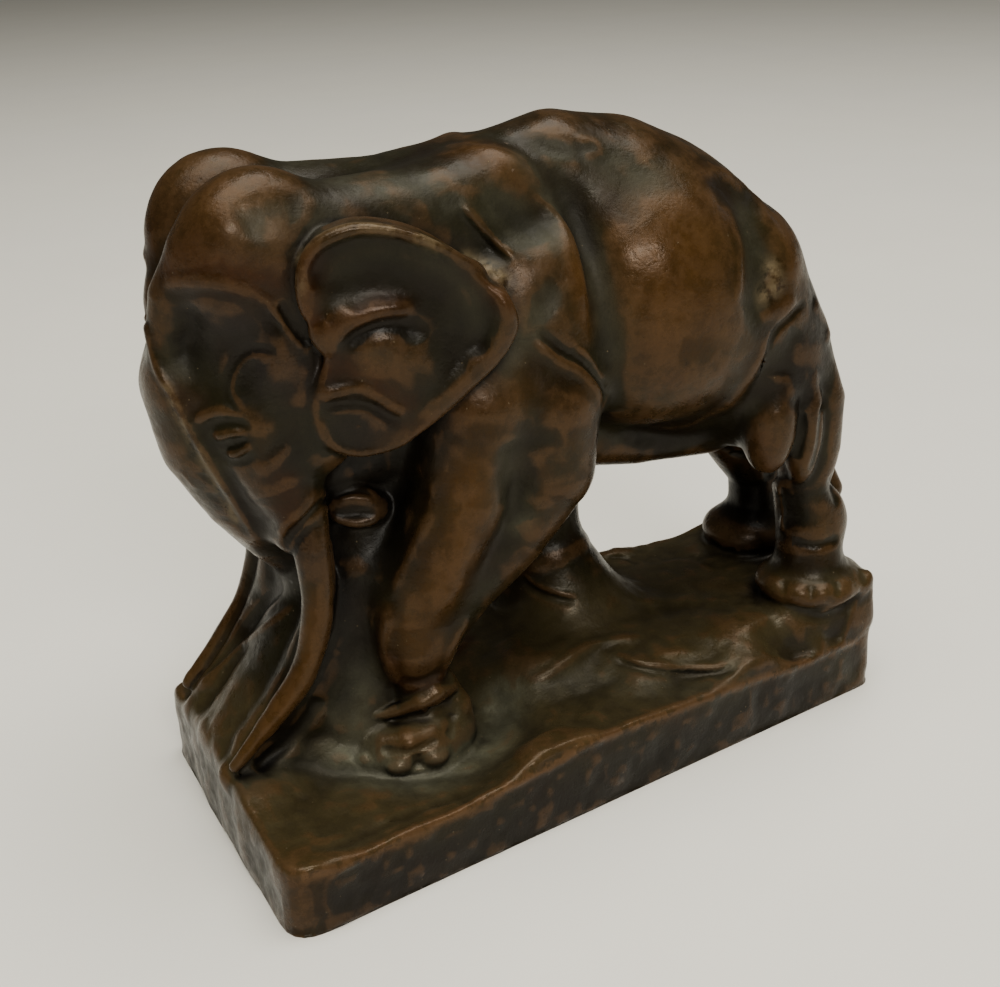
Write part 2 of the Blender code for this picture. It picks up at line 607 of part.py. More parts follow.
def draw_onto(mesh, clay, rounds):
    """Moves every point along the slope of the distance until it lies on the form."""
    points = np.empty(len(mesh.vertices) * 3, np.float32)
    mesh.vertices.foreach_get("co", points)
    points = points.reshape(-1, 3).astype(float)
    probe = FLAT_WITHIN
    for _ in range(rounds):
        here = clay.distance(points)
        slope = np.stack([(clay.distance(points + probe * axis) - here) / probe for axis in np.eye(3)], 1)
        steep = np.maximum((slope ** 2).sum(1), 0.2)
        points -= slope * np.clip(here / steep, -LONGEST_MOVE, LONGEST_MOVE)[:, None]
    mesh.vertices.foreach_set("co", points.astype(np.float32).ravel())
    mesh.update()


def cut_flat(mesh):
    """Cuts the skin at the underside and closes it with one flat face."""
    cut = bmesh.new()
    cut.from_mesh(mesh)
    everything = cut.verts[:] + cut.edges[:] + cut.faces[:]
    edge = bmesh.ops.bisect_plane(cut, geom=everything, plane_co=(0, 0, 0), plane_no=(0, 0, -1),
                                  clear_outer=True)
    rim = [part for part in edge["geom_cut"] if isinstance(part, bmesh.types.BMEdge)]
    bmesh.ops.edgenet_fill(cut, edges=rim)
    bmesh.ops.triangulate(cut, faces=cut.faces[:])
    bmesh.ops.recalc_face_normals(cut, faces=cut.faces[:])
    cut.to_mesh(mesh)
    cut.free()


def keep_outer_skin(mesh):
    """Drops every loose bit of skin but the largest."""
    skin = bmesh.new()
    skin.from_mesh(mesh)
    left = set(skin.verts)
    bits = []
    while left:
        bit = {left.pop()}
        edge = list(bit)
        while edge:
            found = {near.other_vert(vert) for vert in edge for near in vert.link_edges} & left
            left -= found
            bit |= found
            edge = list(found)
        bits.append(bit)
    bits.sort(key=len)
    for bit in bits[:-1]:
        bmesh.ops.delete(skin, geom=list(bit), context="VERTS")
    skin.to_mesh(mesh)
    skin.free()


def settle_underside(mesh):
    """Puts the points of the underside exactly on the plane Z = 0 and scales the mesh to metres."""
    finished = bmesh.new()
    finished.from_mesh(mesh)
    for vert in finished.verts:
        if abs(vert.co.z) < FLAT_WITHIN:
            vert.co.z = 0
    bmesh.ops.scale(finished, vec=(STEP, STEP, STEP), verts=finished.verts[:])
    bmesh.ops.recalc_face_normals(finished, faces=finished.faces[:])
    finished.to_mesh(mesh)
    finished.free()


def brass():
    """Brown patinated brass."""
    material = bpy.data.materials.new("patinated brass")
    material.use_nodes = True
    shader = material.node_tree.nodes["Principled BSDF"]
    shader.inputs["Base Color"].default_value = (0.115, 0.055, 0.022, 1)
    shader.inputs["Metallic"].default_value = 0.75
    shader.inputs["Roughness"].default_value = 0.42
    return material


def casting():
    """The elephant and its ground as one closed skin."""
    clay = model()
    rough_cell = ROUGH_CELL / STEP
    fine_cell = FINE_CELL / STEP
    mesh = evaluated_mesh("rough", clay.rough_form(), "REMESH", mode="VOXEL", voxel_size=rough_cell)
    draw_onto(mesh, clay, 4)
    mesh = evaluated_mesh("fine", mesh, "REMESH", mode="VOXEL", voxel_size=fine_cell)
    draw_onto(mesh, clay, 3)
    keep_outer_skin(mesh)
    cut_flat(mesh)
    share = TRIANGLES_KEPT / len(mesh.polygons)
    mesh = evaluated_mesh("thinned", mesh, "DECIMATE", ratio=share, use_collapse_triangulate=True)
    settle_underside(mesh)
    mesh.name = CASTING
    mesh.shade_smooth()
    mesh.materials.clear()
    mesh.materials.append(brass())
    return bpy.data.objects.new(CASTING, mesh)


def main():
    for old in list(bpy.data.objects):
        bpy.data.objects.remove(old)
    collection = bpy.data.collections.new(COLLECTION)
    bpy.context.scene.collection.children.link(collection)
    collection.objects.link(casting())


main()
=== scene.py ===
"""Looks of a cast brass elephant that strides over a sloping plinth.

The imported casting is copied, remeshed finely and drawn onto a smooth form, which is modelled as a sculptor
models clay: masses run into each other, and ridges, grooves, steps and dabs are pressed into them. A mark is
drawn on the picture plane of the photograph's lens and laid on the form under it. All modelling is done in
millimetres in the part's frame, and the finished mesh goes back to metres.
"""
from __future__ import annotations

import logging
from dataclasses import dataclass, field
from enum import Enum
from functools import partial

import bmesh
import bpy
import numpy as np
from mathutils import Matrix, Vector


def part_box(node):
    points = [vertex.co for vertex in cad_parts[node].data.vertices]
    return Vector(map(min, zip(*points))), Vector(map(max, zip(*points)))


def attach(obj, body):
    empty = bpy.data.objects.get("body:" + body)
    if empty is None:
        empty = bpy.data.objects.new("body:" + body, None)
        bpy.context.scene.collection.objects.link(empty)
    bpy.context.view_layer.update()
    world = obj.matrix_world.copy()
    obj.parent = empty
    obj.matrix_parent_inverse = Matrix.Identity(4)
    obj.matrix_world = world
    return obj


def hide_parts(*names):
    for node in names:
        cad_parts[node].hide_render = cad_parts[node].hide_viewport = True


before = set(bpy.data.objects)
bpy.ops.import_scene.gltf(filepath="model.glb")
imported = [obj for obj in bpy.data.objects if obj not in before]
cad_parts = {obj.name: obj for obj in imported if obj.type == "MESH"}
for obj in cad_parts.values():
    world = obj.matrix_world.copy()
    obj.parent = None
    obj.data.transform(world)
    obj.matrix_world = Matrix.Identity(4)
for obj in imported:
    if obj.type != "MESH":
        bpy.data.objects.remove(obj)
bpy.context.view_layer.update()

LOG = logging.getLogger("elephant")
Rows = list[tuple[float, ...]]
Array = np.ndarray

CASTING = "elephant_casting"
MILLIMETRE = 0.001
FAR_AWAY = 25.0
REACH = 4.0
MARK_REACH = 2.6
MIRRORED = np.array([1.0, -1.0, 1.0])


# Lines, distances and blends

def turned(yaw: float, pitch: float, roll: float) -> Array:
    """Rotation matrix of a roll about X, then a pitch about Y, then a yaw about Z.

    Args:
        yaw: Turn about Z in degrees.
        pitch: Turn about Y in degrees.
        roll: Turn about X in degrees.

    Returns:
        The 3 by 3 matrix.
    """
    z, y, x = np.radians([yaw, pitch, roll])
    about_z = np.array([[np.cos(z), -np.sin(z), 0], [np.sin(z), np.cos(z), 0], [0, 0, 1]])
    about_y = np.array([[np.cos(y), 0, np.sin(y)], [0, 1, 0], [-np.sin(y), 0, np.cos(y)]])
    about_x = np.array([[1, 0, 0], [0, np.cos(x), -np.sin(x)], [0, np.sin(x), np.cos(x)]])
    return about_z @ about_y @ about_x


def smooth_line(rows: Rows | Array, parts: int = 5, closed: bool = False) -> Array:
    """Rows of a smooth line through the given rows.

    Args:
        rows: The rows that the line passes through.
        parts: How many parts lie between two neighbours.
        closed: Whether the line comes back to its start.

    Returns:
        The rows of the line.
    """
    rows = np.array(rows, float)
    if closed:
        ring = np.vstack([rows[-1:], rows, rows[:2]])
    else:
        ring = np.vstack([2 * rows[0] - rows[1], rows, 2 * rows[-1] - rows[-2]])
    t = np.linspace(0, 1, parts, endpoint=False)[:, None]
    pieces = []
    for a, b, c, d in zip(ring, ring[1:], ring[2:], ring[3:]):
        bend = (2 * a - 5 * b + 4 * c - d) * t ** 2 + (3 * b - a - 3 * c + d) * t ** 3
        pieces.append(b + 0.5 * ((c - a) * t + bend))
    if not closed:
        pieces.append(rows[-1:])
    return np.vstack(pieces)


def along(points: Array, a: Array, b: Array) -> tuple[Array, Array]:
    """Where each point's foot lies on the line from a to b.

    Args:
        points: The points.
        a: The line's start.
        b: The line's end.

    Returns:
        The share of the way from a to b, and the offset from the foot.
    """
    way = b - a
    share = np.clip((points - a) @ way / max(way @ way, 1e-9), 0, 1)
    return share, points - a - share[:, None] * way


def blend(a: Array, b: Array, width: float) -> Array:
    """The lesser of two distances, rounded where they are close.

    Args:
        a: The first distances.
        b: The second distances.
        width: How close they are where the rounding starts.

    Returns:
        The blended distances.
    """
    if width <= 0:
        return np.minimum(a, b)
    near = np.maximum(width - np.abs(a - b), 0) / width
    return np.minimum(a, b) - near * near * width / 4


def outline_distance(points: Array, outline: Array) -> Array:
    """Signed distance of flat points to a closed outline.

    Args:
        points: Points in the plane.
        outline: The outline's corners in the plane.

    Returns:
        The distances, negative inside.
    """
    squared = np.full(len(points), 1e9)
    inside = np.zeros(len(points), bool)
    for a, b in zip(outline, np.roll(outline, -1, 0)):
        offset = along(points, a, b)[1]
        squared = np.minimum(squared, (offset ** 2).sum(1))
        if a[1] != b[1]:
            crossing = (points[:, 1] - a[1]) * (b[0] - a[0]) / (b[1] - a[1]) + a[0]
            inside ^= ((a[1] > points[:, 1]) != (b[1] > points[:, 1])) & (points[:, 0] < crossing)
    return np.sqrt(squared) * np.where(inside, -1, 1)


def rounded_plan(corners: Rows, radii: tuple[float, ...], parts: int = 5) -> Array:
    """A plan with rounded corners.

    Args:
        corners: Corners x, y of the plan.
        radii: Radius of each corner.
        parts: How many parts each arc has.

    Returns:
        The corners of the rounded plan.
    """
    sharp = np.array(corners, float)
    plan = []
    for before, corner, after, radius in zip(np.roll(sharp, 1, 0), sharp, np.roll(sharp, -1, 0), radii):
        start = corner + (before - corner) / np.linalg.norm(before - corner) * radius
        end = corner + (after - corner) / np.linalg.norm(after - corner) * radius
        t = np.linspace(0, 1, parts + 1)[:, None]
        plan.append((1 - t) ** 2 * start + 2 * t * (1 - t) * corner + t ** 2 * end)
    return np.vstack(plan)


def plate_distance(side: Array, face: Array, rounding: float) -> Array:
    """Distance to a plate with rounded edges.

    Args:
        side: Distances to the plate's outline.
        face: Distances to its faces.
        rounding: Radius of its edges.

    Returns:
        The distances, negative inside.
    """
    side = side + rounding
    face = face + rounding
    outside = np.hypot(np.maximum(side, 0), np.maximum(face, 0))
    return np.minimum(np.maximum(side, face), 0) + outside - rounding


def eased(share: Array) -> Array:
    """A share from 0 to 1 with a smooth start and end.

    Args:
        share: Shares, cut to the range from 0 to 1.

    Returns:
        The eased shares.
    """
    share = np.clip(share, 0, 1)
    return share * share * (3 - 2 * share)


def noise(points: Array, scale: float, seed: int) -> Array:
    """Smooth random values that run from about -1 to 1.

    Args:
        points: Where the values are wanted, in millimetres.
        scale: Size of one cell of the pattern, in millimetres.
        seed: Picks the pattern.

    Returns:
        One value for each point.
    """
    place = points / scale + 1000.0
    cell = np.floor(place).astype(np.int64)
    share = place - cell
    share = share * share * (3 - 2 * share)
    total = np.zeros(len(points))
    for corner in np.ndindex(2, 2, 2):
        at = cell + corner
        mixed = (at[:, 0] * 73856093) ^ (at[:, 1] * 19349663) ^ (at[:, 2] * 83492791) ^ (seed * 2654435761)
        mixed = (mixed ^ (mixed >> 13)) * 1274126177 & 0xFFFFFFFF
        value = (mixed ^ (mixed >> 16) & 0xFFFF) % 65536 / 32767.5 - 1
        weight = np.prod(np.where(np.array(corner, bool), share, 1 - share), axis=1)
        total += value * weight
    return total


def read(mesh: bpy.types.Mesh, what: str = "co") -> Array:
    """Reads a vector of every point of a mesh.

    Args:
        mesh: The mesh.
        what: Its places, or its normals.

    Returns:
        One row for each point.
    """
    flat = np.empty(len(mesh.vertices) * 3, np.float32)
    mesh.vertices.foreach_get(what, flat)
    return flat.reshape(-1, 3).astype(float)


def move(mesh: bpy.types.Mesh, points: Array) -> None:
    """Puts the points of a mesh in new places.

    Args:
        mesh: The mesh.
        points: One row for each point.
    """
    mesh.vertices.foreach_set("co", points.astype(np.float32).ravel())
    mesh.update()


# Masses

@dataclass
class Ball:
    """An ellipsoid mass.

    Attributes:
        centre: Its centre.
        radii: Its radii along its own axes.
        turn: Yaw, pitch and roll of its axes in degrees.
    """

    centre: tuple[float, float, float]
    radii: tuple[float, float, float]
    turn: tuple[float, float, float] = (0.0, 0.0, 0.0)

    def __post_init__(self) -> None:
        self.middle = np.array(self.centre, float)
        self.half = np.array(self.radii, float)
        self.axes = turned(*self.turn)
        spread = np.sqrt(((self.axes * self.half) ** 2).sum(1))
        self.low = self.middle - spread
        self.high = self.middle + spread

    def distance(self, points: Array) -> Array:
        """Signed distance of points to the mass.

        Args:
            points: The points.

        Returns:
            The distances, negative inside.
        """
        local = (points - self.middle) @ self.axes
        size = np.linalg.norm(local / self.half, axis=1)
        slope = np.linalg.norm(local / self.half ** 2, axis=1)
        return size * (size - 1) / np.maximum(slope, 1e-6)


@dataclass
class Limb:
    """A round mass along a line.

    Attributes:
        rows: Rows x, y, z, radius.
        depth: Its depth along Y as a share of its other radius.
    """

    rows: Rows | Array
    depth: float = 1.0

    def __post_init__(self) -> None:
        rows = np.array(self.rows, float)
        self.line = rows[:, :3]
        self.radius = rows[:, 3]
        self.squeeze = np.array([1, 1 / self.depth, 1])
        spread = self.radius[:, None] / self.squeeze
        self.low = (self.line - spread).min(0)
        self.high = (self.line + spread).max(0)

    def distance(self, points: Array) -> Array:
        """Signed distance of points to the mass.

        Args:
            points: The points.

        Returns:
            The distances, negative inside.
        """
        nearest = np.full(len(points), 1e9)
        for a, b, start, end in zip(self.line, self.line[1:], self.radius, self.radius[1:]):
            share, offset = along(points, a, b)
            reach = np.linalg.norm(offset * self.squeeze, axis=1)
            nearest = np.minimum(nearest, reach - start - share * (end - start))
        return nearest


@dataclass
class Plate:
    """A plate with a smooth outline, flat in its own X and Z.

    Attributes:
        centre: Its centre.
        outline: Rows x, z from the centre, in its own plane.
        thickness: Its thickness along its own Y.
        rounding: Radius of its edges.
        turn: Yaw, pitch and roll of its axes in degrees.
    """

    centre: tuple[float, float, float]
    outline: Rows
    thickness: float
    rounding: float
    turn: tuple[float, float, float]

    def __post_init__(self) -> None:
        self.middle = np.array(self.centre, float)
        self.axes = turned(*self.turn)
        self.edge = smooth_line(self.outline, 4, closed=True)
        rim = np.insert(self.edge, 1, 0, axis=1) @ self.axes.T + self.middle
        self.low = rim.min(0) - self.thickness
        self.high = rim.max(0) + self.thickness

    def distance(self, points: Array) -> Array:
        """Signed distance of points to the mass.

        Args:
            points: The points.

        Returns:
            The distances, negative inside.
        """
        local = (points - self.middle) @ self.axes
        side = outline_distance(local[:, [0, 2]], self.edge)
        return plate_distance(side, np.abs(local[:, 1]) - self.thickness / 2, self.rounding)


@dataclass
class Trim:
    """What lies outside an upright plan is cut away.

    Attributes:
        plan: Corners x, y of the plan.
    """

    plan: Array

    def __post_init__(self) -> None:
        self.low = np.array([*self.plan.min(0), 0]) - FAR_AWAY
        self.high = np.array([*self.plan.max(0), 0]) + 4 * FAR_AWAY

    def distance(self, points: Array) -> Array:
        """Signed distance of points to the plan.

        Args:
            points: The points.

        Returns:
            The distances, negative inside.
        """
        return outline_distance(points[:, :2], self.plan)


# Marks

class Profile(Enum):
    """How a line mark rises across its own way."""

    ROUND = "a rounded ridge or groove"
    STEP = "raised on the left of the line and sunk on its right"


@dataclass
class Stroke:
    """A ridge, groove or step along a line that lies on the form.

    Attributes:
        line: Points of the line.
        height: Its height; a groove is below 0.
        width: Where it has lost most of its height, in millimetres from the line.
        profile: Its rise across the line.
        fade: Share of the length over which each end runs out.
        facing: Direction from which the line was drawn, for the left of a step.
    """

    line: Array
    height: float
    width: float
    profile: Profile = Profile.ROUND
    fade: float = 0.2
    facing: Array = field(default_factory=lambda: np.array([0.0, -1.0, 0.0]))

    def __post_init__(self) -> None:
        self.low = self.line.min(0) - MARK_REACH * self.width
        self.high = self.line.max(0) + MARK_REACH * self.width

    def lift(self, points: Array) -> Array:
        """Height of the mark at points near it.

        Args:
            points: The points.

        Returns:
            One height for each point.
        """
        steps = np.linalg.norm(np.diff(self.line, axis=0), axis=1)
        length = max(steps.sum(), 1e-6)
        squared = np.full(len(points), 1e9)
        place = np.zeros(len(points))
        across = np.zeros(len(points))
        gone = 0.0
        for a, b, step in zip(self.line, self.line[1:], steps):
            share, offset = along(points, a, b)
            here = (offset ** 2).sum(1)
            closer = here < squared
            squared[closer] = here[closer]
            place[closer] = (gone + share[closer] * step) / length
            if self.profile is Profile.STEP and step > 1e-6:
                left = np.cross(self.facing, b - a) / step
                across[closer] = offset[closer] @ left
            gone += step
        taper = 1.0
        if self.fade > 0:
            taper = eased(np.minimum(place, 1 - place) / self.fade)
        if self.profile is Profile.STEP:
            side = across / self.width
            return self.height * taper * side * np.exp(0.5 - squared / self.width ** 2 / 2)
        return self.height * taper * np.exp(-squared / self.width ** 2)


@dataclass
class Dab:
    """A soft bump, or a hollow if its height is below 0.

    Attributes:
        centre: Its centre on the form.
        radii: Where it has lost most of its height, along its own axes.
        height: Its height.
        axes: Its own axes as columns.
    """

    centre: Array
    radii: Array
    height: float
    axes: Array

    def __post_init__(self) -> None:
        self.low = self.centre - MARK_REACH * self.radii.max()
        self.high = self.centre + MARK_REACH * self.radii.max()

    def lift(self, points: Array) -> Array:
        """Height of the mark at points near it.

        Args:
            points: The points.

        Returns:
            One height for each point.
        """
        local = ((points - self.centre) @ self.axes) / self.radii
        return self.height * np.exp(-(local ** 2).sum(1))


@dataclass
class Clay:
    """The masses and marks in the order in which they are laid on.

    Attributes:
        masses: Masses, each with how far it runs in and the sides that get it.
        marks: Marks, each with the sides that get it.
    """

    masses: list[tuple[Ball | Limb | Plate | Trim, float, tuple]] = field(default_factory=list)
    marks: list[tuple[Stroke | Dab, tuple]] = field(default_factory=list)

    def add(self, mass: Ball | Limb | Plate | Trim, run: float = 5.0) -> None:
        """Lays a mass on.

        Args:
            mass: The mass.
            run: How far it runs into what is there.
        """
        self.masses.append((mass, run, (None,)))

    def pair(self, mass: Ball | Limb | Plate, run: float = 5.0) -> None:
        """Lays a mass on both sides of the animal.

        Args:
            mass: The mass on the near side.
            run: How far it runs into what is there.
        """
        self.masses.append((mass, run, (None, MIRRORED)))

    def press(self, mark: Stroke | Dab, both: bool) -> None:
        """Presses a mark into the form.

        Args:
            mark: The mark on the near side.
            both: Whether the far side gets it too.
        """
        self.marks.append((mark, (None, MIRRORED) if both else (None,)))

    def distance(self, points: Array, marked: bool = True) -> Array:
        """Signed distance of points to the form, right near its surface.

        Args:
            points: The points.
            marked: Whether the marks count.

        Returns:
            The distances, negative inside.
        """
        total = np.full(len(points), FAR_AWAY)
        for mass, run, sides in self.masses:
            for side in sides:
                seen = points if side is None else points * side
                margin = run + REACH
                near = np.flatnonzero(((seen > mass.low - margin) & (seen < mass.high + margin)).all(1))
                if not len(near):
                    continue
                laid = mass.distance(seen[near])
                if isinstance(mass, Trim):
                    total[near] = -blend(-total[near], -laid, run)
                else:
                    total[near] = blend(total[near], laid, run)
        if marked:
            for mark, sides in self.marks:
                for side in sides:
                    seen = points if side is None else points * side
                    near = np.flatnonzero(((seen > mark.low) & (seen < mark.high)).all(1))
                    if len(near):
                        total[near] -= mark.lift(seen[near])
        return total


# The photograph's lens, and what is drawn through it

@dataclass(frozen=True)
class Lens:
    """Where the photograph was taken from, in millimetres in the part's frame.

    Attributes:
        place: The lens.
        azimuth: Its azimuth round the object in degrees; 0 looks along +Y.
        elevation: Its elevation in degrees.
        roll: Its roll in degrees.
        focal: Its focal length in picture points.
        middle: The picture point on its axis.
    """

    place: tuple[float, float, float] = (-141.6, -289.2, 203.0)
    azimuth: float = -24.8
    elevation: float = 23.7
    roll: float = -1.7
    focal: float = 1487.0
    middle: tuple[float, float] = (500.0, 493.5)

    def axes(self) -> Array:
        """The picture's right, up and backward directions.

        Returns:
            A matrix with the three directions as columns.
        """
        a, e, r = np.radians([self.azimuth, self.elevation, self.roll])
        back = np.array([np.sin(a) * np.cos(e), -np.cos(a) * np.cos(e), np.sin(e)])
        level = np.cross([0.0, 0.0, 1.0], back)
        level /= np.linalg.norm(level)
        rise = np.cross(back, level)
        right = level * np.cos(r) + rise * np.sin(r)
        up = rise * np.cos(r) - level * np.sin(r)
        return np.stack([right, up, back], 1)

    def rays(self, picture: Array) -> Array:
        """Directions in which picture points are seen.

        Args:
            picture: Rows x, y of picture points, y downwards.

        Returns:
            Unit directions.
        """
        flat = (picture - self.middle) / self.focal
        ways = np.stack([flat[:, 0], -flat[:, 1], -np.ones(len(flat))], 1) @ self.axes().T
        return ways / np.linalg.norm(ways, axis=1, keepdims=True)

    def on_form(self, clay: Clay, picture: Array) -> Array:
        """Points of the form that are seen at picture points.

        Args:
            clay: The form, before its marks.
            picture: Rows x, y of picture points.

        Returns:
            Points on the form.
        """
        nearest, rounds, longest, share = 230.0, 190, 3.5, 0.85
        ways = self.rays(picture)
        gone = np.full(len(picture), nearest)
        for _ in range(rounds):
            left = clay.distance(np.array(self.place) + ways * gone[:, None], marked=False)
            gone += np.clip(left, -1, longest) * share
        return np.array(self.place) + ways * gone[:, None]


class Tone(Enum):
    """Tints, each kept as one attribute of the mesh: patina colours, and painted shade and painted
    highlights.
    """

    # Partly the brass's own gold and partly a painted highlight where light catches barrel, hip and dome.
    GOLD_AND_HIGHLIGHT = "gold_and_highlight"
    GREEN = "green"
    VERDIGRIS = "verdigris"
    PLUM = "plum"
    RUST = "rust"
    # Painted shade: a dark colour laid where shade falls, in gaps, slits and under parts.
    DARK = "painted_shade"
    PALE = "pale"
    WORN = "worn"


@dataclass
class Tint:
    """A patch of tint along a line on the form.

    Attributes:
        tone: Which tint.
        line: Points of its middle line.
        radius: Where it has lost most of its strength, in millimetres.
        strength: Its strength from 0 to 1.
        both: Whether the far side gets it too.
    """

    tone: Tone
    line: Array
    radius: float
    strength: float
    both: bool

    def weight(self, points: Array) -> Array:
        """Strength of the tint at points.

        Args:
            points: The points.

        Returns:
            One strength for each point.
        """
        best = np.zeros(len(points))
        for side in (None, MIRRORED) if self.both else (None,):
            seen = points if side is None else points * side
            near = np.flatnonzero(((seen > self.line.min(0) - 3 * self.radius)
                                   & (seen < self.line.max(0) + 3 * self.radius)).all(1))
            squared = ((seen[near] - self.line[0]) ** 2).sum(1)
            for a, b in zip(self.line, self.line[1:]):
                squared = np.minimum(squared, (along(seen[near], a, b)[1] ** 2).sum(1))
            best[near] = np.maximum(best[near], self.strength * np.exp(-squared / self.radius ** 2))
        return best


@dataclass
class Sketch:
    """Marks and tints drawn through the lens, which are laid on the form all at once.

    Attributes:
        lens: The photograph's lens.
        drawn: Picture lines, each with what lays it on the form.
    """

    lens: Lens
    drawn: list[tuple[Array, object]] = field(default_factory=list)

    def line(self, rows: Rows, height: float, width: float, step: bool = False, both: bool = True,
             fade: float = 0.2) -> None:
        """Draws a ridge, a groove or a step.

        Args:
            rows: Picture points x, y that it passes through.
            height: Its height in millimetres; a groove is below 0.
            width: Its half width in millimetres.
            step: Whether it is raised on the left of its way and sunk on the right.
            both: Whether the far side gets it too.
            fade: Share of its length over which each end runs out.
        """
        profile = Profile.STEP if step else Profile.ROUND
        facing = self.lens.axes()[:, 2]

        def lay(line: Array, clay: Clay) -> None:
            clay.press(Stroke(line, height, width, profile, fade, facing), both)

        self.drawn.append((smooth_line(rows, 3), lay))

    def dab(self, at: tuple[float, float], radii: tuple[float, float], height: float, lean: float = 0.0,
            both: bool = True) -> None:
        """Draws a bump or a hollow.

        Args:
            at: Its middle as a picture point.
            radii: Its half width and half height across the picture, in millimetres.
            height: Its height in millimetres; a hollow is below 0.
            lean: Its turn in the picture in degrees, anticlockwise.
            both: Whether the far side gets it too.
        """
        right, up, back = self.lens.axes().T
        cos, sin = np.cos(np.radians(lean)), np.sin(np.radians(lean))
        axes = np.stack([right * cos + up * sin, up * cos - right * sin, back], 1)

        def lay(line: Array, clay: Clay) -> None:
            clay.press(Dab(line[0], np.array([*radii, max(radii)]), height, axes), both)

        self.drawn.append((np.array([at], float), lay))

    def tint(self, tone: Tone, rows: Rows, radius: float, strength: float = 1.0, both: bool = True) -> None:
        """Draws a patch of tint.

        Args:
            tone: Which tint.
            rows: Picture points x, y of its middle line.
            radius: Its half width in millimetres.
            strength: Its strength from 0 to 1.
            both: Whether the far side gets it too.
        """

        def lay(line: Array, clay: Clay) -> Tint:
            return Tint(tone, line, radius, strength, both)

        self.drawn.append((smooth_line(rows, 2), lay))

    def settle(self, clay: Clay) -> list[Tint]:
        """Lays everything drawn on the form.

        Args:
            clay: The form, which gets the marks.

        Returns:
            The tints, in their places.
        """
        found = self.lens.on_form(clay, np.vstack([picture for picture, _ in self.drawn]))
        tints = []
        start = 0
        for picture, lay in self.drawn:
            line = found[start:start + len(picture)]
            start += len(picture)
            result = lay(line, clay)
            if result is not None:
                tints.append(result)
        LOG.info("drawn: %d marks and tints", len(self.drawn))
        return tints


# Sub-assemblies of the casting

